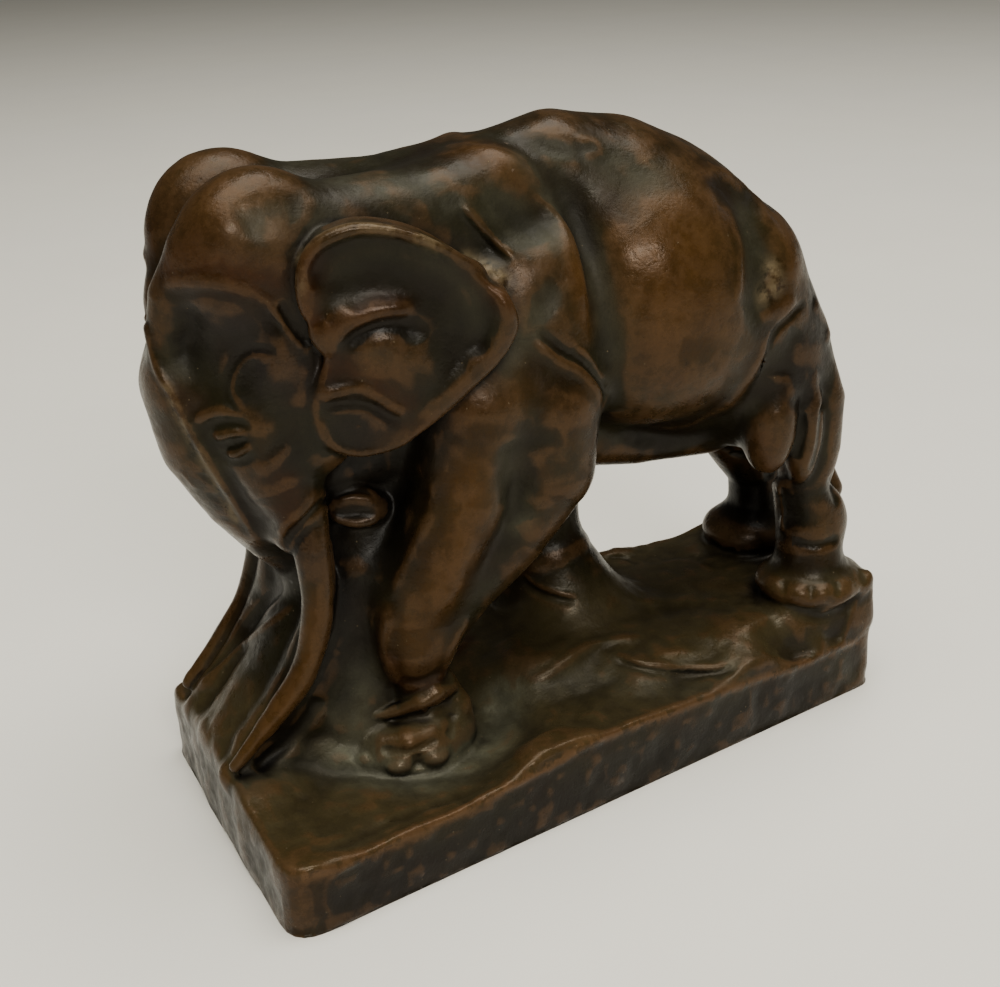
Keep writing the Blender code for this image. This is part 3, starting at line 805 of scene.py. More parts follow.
@dataclass
class Ground:
    """The sloping plinth, the ramp between the tusks and the mound of the far forefoot.

    Attributes:
        half_length: Half the length over which the ground's heights are named.
        far_front: X of the far front corner.
        rear_end: X of the rear face.
        front_near: Y of its near front corner.
        rear_near: Y of its near rear corner.
        far: Y of its far side.
        front: Height of the ground at the front.
        rear: Height of the ground at the rear.
        rounding: Radius of its edges.
        corner_radii: How far back its upright corners are rounded, from near front round to far front.
    """

    half_length: float = 82.5
    far_front: float = -85.0
    rear_end: float = 85.4
    front_near: float = -55.4
    rear_near: float = -26.6
    far: float = 30.3
    front: float = 16.5
    rear: float = 30.0
    rounding: float = 2.2
    corner_radii: tuple[float, ...] = (9.0, 5.0, 5.0, 6.0)

    def __post_init__(self) -> None:
        half = self.half_length
        corners = [(-half, self.front_near), (self.rear_end, self.rear_near), (self.rear_end, self.far),
                   (self.far_front, self.far)]
        self.plan = rounded_plan(corners, self.corner_radii)
        self.low = np.array([self.far_front, self.front_near, -REACH])
        self.high = np.array([self.rear_end, self.far, 2 * self.rear])
        self.rows = self.heights()

    def heights(self) -> Array:
        """Named heights of the ground, as shares of its sizes.

        Returns:
            Rows x, y, z.
        """
        shares = [
            (-0.97, 0.05, 1.00, 0.00), (-0.68, 0.06, 0.91, 0.00), (-0.18, 0.04, 1.24, 0.00),
            (0.31, 0.03, 0.65, 0.23), (0.72, 0.03, 0.50, 0.22), (0.86, 0.05, 0.50, 0.22),
            (0.95, 0.05, 0.20, 0.85), (1.00, 0.04, 0.10, 1.00),
            (-0.98, 0.42, 1.18, 0.00), (-0.98, 0.97, 1.10, 0.00), (-0.98, 0.66, 1.18, 0.00),
            (-0.73, 0.22, 0.91, 0.00), (-0.55, 0.22, 0.81, 0.00), (-0.41, 0.20, 0.81, 0.00),
            (-0.27, 0.25, 0.90, 0.00), (-0.48, 0.42, 0.80, 0.00), (-0.02, 0.18, 1.00, 0.05),
            (0.00, 0.45, 1.00, 0.28), (0.30, 0.30, 0.70, 0.41), (0.36, 0.97, 0.60, 0.52),
            (0.60, 0.20, 0.30, 0.70), (0.60, 0.97, 0.30, 0.66), (0.74, 0.12, 0.20, 0.82),
            (0.90, 0.15, 0.10, 0.93), (0.98, 0.20, 0.10, 0.98), (0.98, 0.95, 0.10, 0.90),
            (0.78, 0.75, 0.20, 0.76), (0.00, 0.95, 0.90, 0.30), (-0.48, 0.95, 1.00, 0.12),
        ]
        rows = []
        for lengthwise, across, of_front, of_rear in shares:
            x = lengthwise * self.half_length
            near = self.front_near + (lengthwise + 1) / 2 * (self.rear_near - self.front_near)
            rows.append((x, near + across * (self.far - near), of_front * self.front + of_rear * self.rear))
        return np.array(rows)

    def top(self, x: Array, y: Array) -> Array:
        """Height of the ground: the mean of the named heights, weighted by how close each one is.

        Args:
            x: Places along the length.
            y: Places across.

        Returns:
            The heights.
        """
        widthwise, softness, fall_off = 1.7, 6.0, 1.7
        total = np.zeros(len(x))
        weights = np.zeros(len(x))
        for row_x, row_y, row_z in self.rows:
            weight = ((x - row_x) ** 2 + widthwise * (y - row_y) ** 2 + softness) ** -fall_off
            total += weight * row_z
            weights += weight
        return total / weights

    def distance(self, points: Array) -> Array:
        """Signed distance of points to the plinth.

        Args:
            points: The points.

        Returns:
            The distances, negative inside.
        """
        side = outline_distance(points[:, :2], self.plan)
        steepness = 0.93
        top = (points[:, 2] - self.top(points[:, 0], points[:, 1])) * steepness
        return np.maximum(plate_distance(side, top, self.rounding), -REACH - points[:, 2])

    def lay(self, clay: Clay) -> None:
        """Lays the ground.

        Args:
            clay: The form.
        """
        clay.add(self, 0)
        clay.add(Limb([(-84, -3, 8, 9), (-74, -3, 18.5, 9.5), (-64, -3, 30, 10), (-56, -2, 42, 10.5),
                       (-46, -1, 56, 12)], 1.45), 4)
        clay.add(Limb([(-60, -5, 10, 12), (-50, -6, 20, 14), (-42, -2, 42, 14), (-30, 0, 66, 16)]), 9)
        clay.add(Limb([(10, 14, 49, 7.5), (11, 12, 37, 11), (16, 8, 17, 17)]), 10)
        clay.add(Limb([(-57, 11, 56, 6), (-59, 12, 44, 6.5), (-64, 13, 34, 6), (-72, 13, 25, 5),
                       (-79, 13.5, 18, 4)]), 3)
        clay.add(Limb([(62, -19, 19, 8.5), (77, -18.5, 20, 9)]), 3)
        clay.add(Ball((38.5, 27, 23.5), (6, 3, 2.6)), 2)
        clay.add(Trim(self.plan), self.rounding)

    def draw(self, sketch: Sketch) -> None:
        """Draws what shows on the ground.

        Args:
            sketch: The marks.
        """
        line = partial(sketch.line, both=False)
        dab = partial(sketch.dab, both=False)
        line([(298, 603), (282, 615), (255, 636), (228, 659), (205, 682), (193, 698)], 1.0, 1.2)
        line([(284, 585), (266, 603), (243, 630), (220, 657), (200, 682)], -1.8, 1.6)
        line([(352, 560), (358, 620), (352, 680), (340, 730)], -1.0, 5.0)
        line([(322, 696), (302, 726), (278, 750), (254, 770)], -0.9, 1.6, fade=0.1)
        line([(243, 786), (268, 766), (288, 763), (318, 763), (362, 772), (388, 777), (454, 772), (498, 763)],
             0.5, 2.4, step=True)
        line([(300, 815), (345, 822), (392, 806), (440, 786), (500, 770), (560, 744)], -0.4, 5.0)
        line([(288, 873), (309, 870), (325, 873), (347, 865), (381, 846), (416, 827), (448, 817), (480, 798),
              (520, 782), (560, 763), (588, 744), (636, 723), (684, 706), (720, 692), (756, 680), (804, 663),
              (840, 646), (859, 641)], 0.55, 1.0, fade=0.03)
        line([(300, 851), (335, 846), (370, 830), (410, 812), (446, 799), (490, 782)], -0.7, 1.8)
        line([(518, 681), (543, 677), (562, 664), (583, 649), (604, 642), (629, 639), (650, 637)], 0.9, 1.4)
        line([(528, 692), (560, 680), (584, 664), (608, 654)], -0.6, 2.4)
        line([(609, 651), (629, 662), (653, 668), (684, 671), (714, 670), (739, 663)], 0.75, 1.1, step=True)
        line([(625, 652), (660, 642), (700, 645), (735, 656)], -0.5, 3.0)
        line([(811, 612), (830, 606), (857, 590), (872, 584)], 0.6, 1.6)
        line([(478, 640), (492, 668), (502, 700), (490, 735), (462, 752)], -0.7, 3.4)
        line([(523, 573), (536, 584), (559, 593), (580, 597)], 0.55, 0.7)
        line([(521, 578), (534, 590), (557, 599), (578, 603)], -0.6, 1.0)
        line([(584, 596), (620, 600), (680, 600), (740, 602)], 0.35, 3.0)
        line([(606, 558), (622, 557), (640, 565)], -0.5, 0.8)
        line([(650, 560), (690, 556), (720, 570)], -0.3, 1.6)
        dab((312, 785), (11, 4), -0.6, -8)
        dab((240, 830), (8, 9), 1.0)
        line([(200, 716), (222, 752), (250, 796), (272, 838)], -0.3, 2.2)
        line([(650, 610), (700, 606), (740, 612)], -0.4, 2.2)


@dataclass
class Trunk:
    """Barrel, back, belly, rump and chest."""

    def lay(self, clay: Clay) -> None:
        """Lays the body.

        Args:
            clay: The form.
        """
        clay.add(Ball((26, 0, 110), (33, 31, 32)), 6)
        clay.pair(Ball((27, -12, 101), (28, 17, 21)), 5)
        clay.add(Limb([(-42, 0, 123, 14), (-15, 0, 131, 14), (6, 0, 137, 13), (20, 0, 134.5, 13),
                       (34, 0, 123.5, 13), (48, 0, 113, 13), (57, 0, 101, 12)]), 9)
        clay.add(Limb([(10, 0, 76, 9), (28, 0, 72, 8), (48, 0, 71, 8)]), 8)
        clay.add(Ball((47, 0, 97), (22, 23, 28)), 8)
        clay.pair(Ball((50.5, -13, 108), (13, 12, 18)), 5)
        clay.add(Ball((-12, 0, 108), (24, 24, 33)), 8)
        clay.pair(Ball((-7, -17, 104), (16, 12, 25)), 5)
        clay.add(Limb([(-48, 0, 84, 13), (-36, 0, 88, 16), (-24, 0, 82, 16)]), 6)

    def draw(self, sketch: Sketch) -> None:
        """Draws shoulder, barrel, flank, hip and rump.

        Args:
            sketch: The marks.
        """
        line, dab = sketch.line, sketch.dab
        line([(448, 152), (474, 148), (502, 155), (529, 175), (549, 198), (562, 222), (570, 241),
              (577, 268), (583, 295), (592, 326), (598, 344)], 1.5, 2.8, fade=0.3)
        line([(530, 190), (552, 212), (563, 232), (571, 262)], 0.6, 1.2)
        dab((512, 210), (6.5, 4.2), -2.1, -22)
        dab((534, 232), (3.5, 5.0), -0.9, -40)
        line([(458, 205), (485, 236), (499, 250), (515, 262)], 0.55, 1.0, step=True)
        line([(440, 190), (452, 214), (470, 246), (500, 268)], -0.6, 3.4)
        dab((546, 303), (2.8, 4.2), -1.0, -20)
        line([(512, 161), (546, 189), (577, 226), (590, 260), (600, 301), (607, 335), (611, 382)], -1.9, 3.8)
        line([(536, 329), (560, 350), (584, 363), (604, 386), (605, 404)], -1.1, 1.3)
        line([(531, 336), (556, 357), (580, 371), (597, 391), (600, 410)], 0.9, 1.5)
        line([(575, 345), (592, 362), (606, 384)], 0.5, 0.8)
        dab((556, 148), (6.5, 2.4), -0.9, -6)
        line([(573, 139), (594, 142), (597, 152), (580, 158)], 0.3, 1.4)
        line([(706, 171), (733, 202), (750, 240), (757, 280), (753, 311), (742, 330)], -1.1, 4.0)
        line([(726, 202), (740, 237), (741, 270), (737, 311)], 0.35, 1.6)
        line([(699, 165), (733, 181), (760, 208), (781, 240), (792, 273), (797, 300)], 0.9, 3.4)
        line([(798, 300), (775, 311), (757, 318)], 0.5, 2.0)
        dab((774, 281), (2.2, 2.6), 0.6)
        line([(806, 300), (790, 318), (775, 334), (765, 362), (757, 388), (741, 414)], -1.2, 1.0)
        line([(800, 326), (788, 350), (778, 380)], -0.6, 3.0)
        line([(778, 328), (767, 355), (753, 382), (733, 406), (706, 420), (672, 430), (638, 425), (611, 416),
              (597, 405)], -1.1, 2.0, step=True, fade=0.12)
        line([(760, 398), (735, 420), (706, 434), (672, 443), (638, 440), (606, 431)], -1.0, 3.0)
        dab((700, 352), (7, 5), -0.7)
        dab((812, 250), (3.5, 8), -0.9, -12)
        line([(812, 300), (824, 322), (830, 345)], 0.6, 2.0)
        line([(780, 400), (800, 396), (818, 384), (834, 368)], 0.4, 2.2, step=True, fade=0.3)


@dataclass
class Legs:
    """Four legs, their feet and the tail."""

    def lay(self, clay: Clay) -> None:
        """Lays the legs.

        Args:
            clay: The form.
        """
        self.lay_hind(clay)
        self.lay_fore(clay)

    def lay_hind(self, clay: Clay) -> None:
        """Lays the hind legs and the tail between them.

        Args:
            clay: The form.
        """
        clay.add(Limb([(54, 16, 86, 12), (59, 16, 72, 10), (67.5, 15, 58, 8.3), (75, 15, 47, 7.6),
                       (76, 15, 37, 8)]), 5)
        clay.add(Ball((73, 15, 30.5), (12.5, 12, 6.5)), 4)
        clay.add(Ball((57, -13, 88), (15, 11, 22)), 6)
        clay.add(Ball((53, -19.5, 77), (6.5, 7, 14)), 2.2)
        clay.add(Ball((62.5, -20, 74), (4.6, 5.5, 15)), 1.2)
        clay.add(Limb([(66, -13, 91, 7), (69.8, -15.5, 78, 6.6), (69.5, -16, 66, 6.3), (67, -15, 55, 7),
                       (69, -16, 44, 7.8), (69, -17, 37, 7.8)]), 2.0)
        clay.add(Ball((74.5, -16, 45), (5, 5, 7.5)), 5)
        clay.add(Ball((69.5, -17, 30), (13.8, 12.5, 5.2)), 3)
        clay.add(Limb([(69, -16.5, 39, 6.8), (69.5, -17, 31, 10.2)]), 3)
        clay.add(Limb([(66, 0, 108, 3.5), (73, -1, 92, 3.5), (76, -3, 74, 3), (78, -6, 58, 3),
                       (80.5, -8, 49, 4)]), 3)

    def lay_fore(self, clay: Clay) -> None:
        """Lays the forelegs, the near one reaching forward.

        Args:
            clay: The form.
        """
        clay.add(Limb([(-8, 18, 96, 14), (0, 18, 76, 12), (6, 17, 58, 10.5), (6, 17, 46, 9.5),
                       (6, 17, 32, 10)], 0.95), 5)
        clay.add(Limb([(6, 18, 90, 12), (11, 17, 74, 11), (12, 16, 60, 9.5), (9, 16, 46, 8.5)], 0.95), 5)
        clay.add(Limb([(-22, -20, 95, 13), (-26, -20, 76, 11), (-33, -19, 60, 10), (-38.5, -18, 49, 9.2),
                       (-38.5, -18, 41, 8.6)], 0.95), 5)
        clay.add(Limb([(-6, -20, 92, 12.5), (-6, -19, 77, 11.5), (-14, -18, 63, 9), (-26, -17.5, 51, 7.5),
                       (-33, -17, 43, 7)], 0.95), 5)
        self.lay_near_forefoot(clay)

    def lay_near_forefoot(self, clay: Clay) -> None:
        """Lays ankle, sole, a wrinkle over the instep, the heel and three toes.

        Args:
            clay: The form.
        """
        clay.add(Limb([(-37, -16.5, 34, 6.6), (-37, -16, 22, 7.5)]), 1)
        clay.add(Ball((-39, -17, 17), (13.5, 11.5, 6.5)), 4)
        clay.add(Limb([(-50, -20, 18, 2.5), (-47.5, -22, 18, 3.9), (-43.5, -23.9, 18.5, 4.6),
                       (-38.8, -24.5, 19, 3.9), (-34.5, -23.4, 20, 2.6)]), 1.6)
        clay.add(Limb([(-31.5, -18, 28, 2.6), (-29.5, -20, 23, 3.2), (-30, -21.5, 18, 3.2)]), 3)
        clay.add(Limb([(-48.5, -18.7, 25, 1.2), (-43, -20.5, 25.5, 2), (-39.3, -23, 28, 2.5),
                       (-36, -23.4, 29.5, 2.2), (-31, -21, 28.5, 1.3)]), 0.7)
        for centre in ((-51.5, -21.6, 16.6), (-46.4, -26.4, 15.8), (-38.7, -28, 16.6)):
            clay.add(Ball(centre, (2.8, 2.0, 1.8)), 0.7)

    def draw(self, sketch: Sketch) -> None:
        """Draws the legs' ridges, hollows, creases and toes.

        Args:
            sketch: The marks.
        """
        line, dab = sketch.line, sketch.dab
        near = partial(line, both=False)
        near([(513, 436), (511, 460), (509, 478), (515, 508), (523, 527)], -1.3, 3.2)
        near([(470, 470), (468, 500), (464, 540), (452, 580), (440, 620)], 0.7, 3.6)
        near([(536, 440), (541, 480), (537, 516)], 0.9, 3.2)
        near([(392, 600), (386, 632), (386, 655), (394, 674), (408, 684), (424, 684), (443, 669), (458, 634),
              (470, 612)], 1.0, 1.7, fade=0.1)
        near([(436, 470), (430, 515), (408, 560), (393, 597)], 0.7, 1.6)
        dab((420, 640), (4.5, 5.5), -0.7, both=False)
        near([(380, 722), (404, 718), (424, 712), (440, 705), (454, 702)], -1.0, 0.9)
        near([(378, 749), (396, 752), (412, 752), (426, 745), (442, 739)], -1.0, 0.9)
        near([(417, 754), (418, 768)], -1.6, 1.1, fade=0.2)
        near([(450, 712), (452, 726), (448, 739)], -1.0, 1.0)
        line([(801, 410), (802, 433), (795, 462)], -1.2, 1.2)
        line([(824, 392), (822, 423), (818, 452), (810, 474)], -1.4, 1.2)
        line([(757, 464), (770, 474), (786, 474), (797, 464)], -0.8, 1.2)
        dab((768, 398), (5, 4), -1.0)
        near([(830, 474), (832, 492), (840, 505)], -0.5, 1.3)
        near([(787, 480), (790, 505), (794, 536)], -2.0, 4.2, fade=0.35)
        near([(792, 541), (814, 545), (840, 538)], -0.7, 1.2)
        for toe in ((772, 582), (797, 591), (824, 592), (846, 583)):
            dab(toe, (2.6, 2.0), 0.7, both=False)
        for gap_x, gap_y in ((784, 588), (811, 593), (836, 589)):
            near([(gap_x, gap_y - 8), (gap_x, gap_y + 8)], -0.4, 1.0)
        near([(776, 482), (780, 505), (782, 534)], 0.8, 0.8)
        near([(709, 540), (722, 550), (738, 552)], -0.5, 1.2)


@dataclass
class Head:
    """Neck, domes, forehead, trunk, cheeks and eyes.

    Attributes:
        lid_width: Half width of the eyelids' rolls.
    """

    lid_width: float = 1.1

    def lay(self, clay: Clay) -> None:
        """Lays the head.

        Args:
            clay: The form.
        """
        clay.add(Ball((-34, 0, 111), (24, 21, 27)), 8)
        clay.pair(Limb([(-60, -11, 132.5, 11), (-46, -9.5, 132, 11), (-30, -8, 132, 10.8),
                        (-14, -7, 134, 11)]), 4)
        clay.pair(Ball((-64, -11, 130.5), (16.5, 11, 17)), 3)
        clay.add(Ball((-71, 9, 114), (13, 11, 16)), 5)
        clay.add(Ball((-68, -6, 113), (12, 9.5, 15)), 5)
        clay.add(Limb([(-75, -9, 131, 6), (-79.5, -6, 123, 5.5), (-80.8, -5, 115.5, 5), (-80, -5, 107.5, 5),
                       (-77.3, -5.5, 101, 5), (-74.5, -6, 92, 5), (-70.5, -6, 83, 5), (-66.5, -6, 73, 5)]), 3)
        clay.add(Ball((-62, 0, 102), (18, 20, 24)), 5)
        clay.add(Limb([(-75.5, 0, 103, 12), (-73.5, 0, 90, 11.5), (-67.5, 0, 78, 10.5), (-60.5, 0, 67.5, 9.5),
                       (-54, 0, 60, 9), (-48, -2, 61, 8), (-46, -6, 68, 7)]), 5)
        clay.add(Ball((-46.5, -11, 72.5), (7, 5, 4.5), (0, 12, 0)), 1.2)
        clay.pair(Limb([(-67, -12, 96, 9), (-64, -14, 86, 8), (-61.5, -15.5, 78, 6.4),
                        (-62, -15.5, 72, 5)]), 6)
        clay.pair(Limb([(-59, -13, 128, 8), (-60, -14.5, 116, 8.5), (-58.5, -15.5, 104, 9),
                        (-56, -15.5, 93, 8)]), 4)

    def draw(self, sketch: Sketch) -> None:
        """Draws the face.

        Args:
            sketch: The marks.
        """
        line, dab = sketch.line, sketch.dab
        line([(160, 291), (200, 288), (235, 294), (264, 307), (290, 335)], 0.6, 1.2, step=True, fade=0.15)
        dab((186, 354), (4.6, 6.2), -2.3, 12)
        line([(270, 304), (280, 318), (291, 333), (306, 349)], 0.8, 0.8)
        line([(276, 302), (287, 318), (298, 332), (312, 347)], -1.5, 1.2)
        line([(281, 356), (252, 353), (236, 367), (230, 388), (235, 405), (248, 414)], 0.2, 0.8, step=True)
        dab((262, 380), (5.5, 5.0), 0.4)
        dab((285, 405), (5, 7), -0.5)
        dab((230, 441), (6.2, 4.2), -0.9, -14)
        line([(192, 434), (197, 421), (211, 413), (228, 412), (243, 418)], 0.9, 1.3, fade=0.35)
        line([(203, 438), (208, 427), (221, 422), (238, 424), (253, 431)], -1.0, 0.9, fade=0.3)
        line([(208, 441), (219, 437), (232, 434), (249, 433)], 1.0, self.lid_width, fade=0.3)
        line([(210, 446), (222, 447), (235, 445), (248, 440)], -1.5, 0.9, fade=0.3)
        line([(223, 455), (236, 453), (252, 443)], 1.0, self.lid_width, fade=0.3)
        line([(206, 443), (213, 453), (227, 462), (243, 462), (256, 453)], -0.9, 0.9, fade=0.3)
        line([(285, 434), (286, 448), (278, 460), (264, 469), (247, 472)], 0.6, 1.6, fade=0.35)
        line([(328, 497), (312, 514), (294, 530), (287, 540), (286, 552)], -0.9, 0.9, fade=0.15)
        line([(318, 488), (304, 508), (286, 526), (279, 542)], 0.5, 1.3)
        line([(147, 296), (147, 330), (156, 368), (174, 398), (194, 436), (217, 474), (240, 511),
              (262, 550)], 0.8, 1.0, both=False)
        line([(166, 372), (184, 402), (208, 440), (232, 478), (254, 516)], -0.5, 2.2, both=False)
        line([(180, 470), (196, 490)], 0.25, 0.9)
        for row in range(4):
            drop = row * 22.0
            line([(190 + 0.62 * drop, 472 + drop), (205 + 0.58 * drop, 477 + drop),
                  (219 + 0.52 * drop, 484 + drop)], -0.14, 0.9, fade=0.4)
        dab((219, 227), (4.5, 5.5), 0.6)
        line([(236, 232), (262, 214), (288, 206), (308, 214)], -0.5, 3.6)
        line([(330, 503), (334, 492), (350, 488), (368, 491), (381, 502)], 0.9, 1.0, both=False)
        line([(338, 502), (350, 497), (366, 498), (374, 505)], 0.8, 0.6, both=False)
        dab((355, 512), (3.6, 1.5), -2.6, both=False)
        line([(330, 516), (348, 524), (370, 523), (382, 513)], 0.7, 0.8, both=False)


@dataclass
class Tusks:
    """Tusks that curve down to the front edge of the ground.

    Attributes:
        root_radius: Their radius at the root.
    """

    root_radius: float = 4.7

    def lay(self, clay: Clay) -> None:
        """Lays the tusks.

        Args:
            clay: The form.
        """
        rows = [(-59.5, -17, 76, 0.84), (-60.3, -19, 68.5, 0.83), (-60.2, -20, 59, 0.76),
                (-61.6, -20.3, 50, 0.69), (-65.4, -20.3, 40.5, 0.61), (-70.8, -20, 33.9, 0.52),
                (-76.5, -19.8, 27.6, 0.42), (-81.6, -19.6, 22.3, 0.33)]
        line = smooth_line(rows, 4)
        line[:, 3] *= self.root_radius
        clay.pair(Limb(line), 0.6)
        clay.pair(Limb([(-57, -14.2, 67, 2.6), (-57.5, -14.6, 57, 3.4), (-59.5, -14.6, 49, 3.6),
                        (-64, -14.4, 39.5, 3.6), (-70, -14.2, 31, 3.4), (-76.5, -14.4, 23.5, 3.2),
                        (-80.5, -15.5, 17.5, 3.6)]), 1.8)

    def draw(self, sketch: Sketch) -> None:
        """Draws the near tusk's flattened front.

        Args:
            sketch: The marks.
        """
        sketch.line([(322, 560), (324, 600), (318, 650), (300, 690), (276, 720), (256, 745)], 0.35, 1.6)


@dataclass
class Ears:
    """Ears: leaning plates with a rolled rim, dished above and folded below.

    Attributes:
        thickness: Their thickness.
        rounding: Radius of their edges.
        swing: How far they turn out to the rear, in degrees.
        lean: How far they lean, in degrees.
    """

    thickness: float = 8.0
    rounding: float = 1.6
    swing: float = 14.0
    lean: float = 4.0

    def lay(self, clay: Clay) -> None:
        """Lays the ears.

        Args:
            clay: The form.
        """
        middle_x, middle_y, middle_z = -40.0, -26.5, 114.0
        outline = [(-58, 117), (-60.5, 127), (-57.5, 134.5), (-50, 138), (-41, 137), (-31, 132),
                   (-21.5, 123), (-17.5, 116.5), (-20, 109.5), (-28, 102), (-36.5, 95), (-44, 90.5),
                   (-53, 90.5), (-58.5, 95), (-59.5, 103), (-56.5, 112)]
        centred = [(x - middle_x, z - middle_z) for x, z in outline]
        turn = (-self.swing, 0, self.lean)
        clay.pair(Plate((middle_x, middle_y, middle_z), centred, self.thickness, self.rounding, turn), 1.2)

    def draw(self, sketch: Sketch) -> None:
        """Draws rim, dish, folds and leaf.

        Args:
            sketch: The marks.
        """
        line, dab = sketch.line, sketch.dab
        line([(305, 322), (304, 290), (304, 266), (318, 245), (350, 231), (392, 234), (432, 245), (464, 260),
              (494, 281), (506, 305), (501, 332), (484, 356), (460, 382), (436, 404), (412, 424)], 1.3, 2.0,
             fade=0.06)
        line([(318, 292), (317, 272), (328, 257), (350, 245), (374, 241), (402, 244), (430, 253), (458, 267),
              (476, 286), (486, 310), (484, 338), (470, 360)], -1.4, 1.9, fade=0.08)
        dab((350, 274), (6, 5), -1.8, 10)
        dab((396, 272), (7.5, 5.5), -1.9, -12)
        dab((440, 296), (7, 6.5), -1.8, -30)
        dab((466, 328), (4.5, 6), -1.2)
        dab((452, 352), (6, 6), -0.6)
        line([(304, 328), (320, 340), (338, 333), (358, 320), (380, 312), (402, 309), (424, 308)],
             1.6, 2.3, fade=0.2)
        line([(312, 318), (326, 326), (342, 317), (360, 304)], 1.0, 2.4, fade=0.3)
        line([(338, 352), (352, 338), (366, 329), (388, 324), (410, 328), (428, 342)], -1.6, 1.9, fade=0.25)
        dab((329, 349), (1.6, 1.6), 0.9)
        dab((385, 362), (8, 5.5), 1.1, -10)
        dab((420, 378), (6, 5), 0.6, -30)
        dab((336, 366), (4, 3.6), -0.7)
        line([(317, 398), (332, 393), (350, 389), (365, 389), (380, 397), (394, 406), (410, 413)], 1.1, 1.2,
             fade=0.15)
        line([(321, 410), (332, 406), (350, 404), (368, 406), (387, 416), (404, 428)], -0.8, 1.1, fade=0.2)
        line([(322, 416), (327, 434), (341, 449), (362, 454), (384, 449)], 0.5, 0.9)
        line([(487, 300), (490, 320), (486, 346)], 0.5, 0.9)


# Patina, painted shade and painted highlights

class PatinaAndPaintedLight:
    """Where each tint, the painted shade and the painted light lie, worked out on the finished skin and kept
    as attributes of the mesh.
    """

    def __init__(self, mesh: bpy.types.Mesh, clay: Clay, tints: list[Tint]) -> None:
        self.mesh = mesh
        self.points = read(mesh)
        self.normals = read(mesh, "normal")
        self.clay = clay
        self.tints = tints

    def relief(self, rounds: int) -> Array:
        """How far each point stands out of the skin smoothed over its neighbours.

        Args:
            rounds: How many times the skin is smoothed.

        Returns:
            Millimetres, below 0 in hollows.
        """
        edges = np.empty(len(self.mesh.edges) * 2, np.int32)
        self.mesh.edges.foreach_get("vertices", edges)
        a, b = edges.reshape(-1, 2).T
        count = len(self.points)
        many = np.bincount(a, minlength=count) + np.bincount(b, minlength=count)
        smooth = self.points.copy()
        for _ in range(rounds):
            mean = np.stack([np.bincount(a, smooth[b, axis], count) + np.bincount(b, smooth[a, axis], count)
                             for axis in range(3)], 1) / many[:, None]
            smooth = 0.5 * smooth + 0.5 * mean
        return ((self.points - smooth) * self.normals).sum(1)

    def shelter(self, reach: float) -> Array:
        """How much of the space over each point is filled by other parts of the form.

        Args:
            reach: How far over the point the space is looked at, in millimetres.

        Returns:
            Shares from 0 in the open to 1 in a cleft.
        """
        free = self.clay.distance(self.points + self.normals * reach, marked=False)
        return np.clip(1 - free / reach, 0, 1)

    def store(self) -> None:
        """Writes one attribute for each tint, and those for hollows, ridges, clefts and the ground's upward
        faces.
        """
        fine = self.relief(6)
        broad = self.relief(60)
        layers = {
            "ridge": np.clip(0.5 + fine / 0.16, 0, 1),
            "swell": np.clip(0.5 + broad / 1.6, 0, 1),
            # cleft: how enclosed each point is; it darkens the colour as painted shade and dulls the gloss.
            "cleft": np.clip(0.55 * self.shelter(3.5) + 0.65 * self.shelter(9.0), 0, 1),
            # Painted light: the ground's upward faces below 38 mm are made lighter, as if lit from above.
            "ground_top_light": eased((38 - self.points[:, 2]) / 8) * eased(self.normals[:, 2] * 2),
        }
        for tone in Tone:
            layers[tone.value] = np.zeros(len(self.points))
        for tint in self.tints:
            weight = tint.weight(self.points)
            layers[tint.tone.value] = np.maximum(layers[tint.tone.value], weight)
        for name, values in layers.items():
            attribute = self.mesh.attributes.new(name, "FLOAT", "POINT")
            attribute.data.foreach_set("value", values.astype(np.float32))
            LOG.info("attribute %s: mean %.3f", name, values.mean())


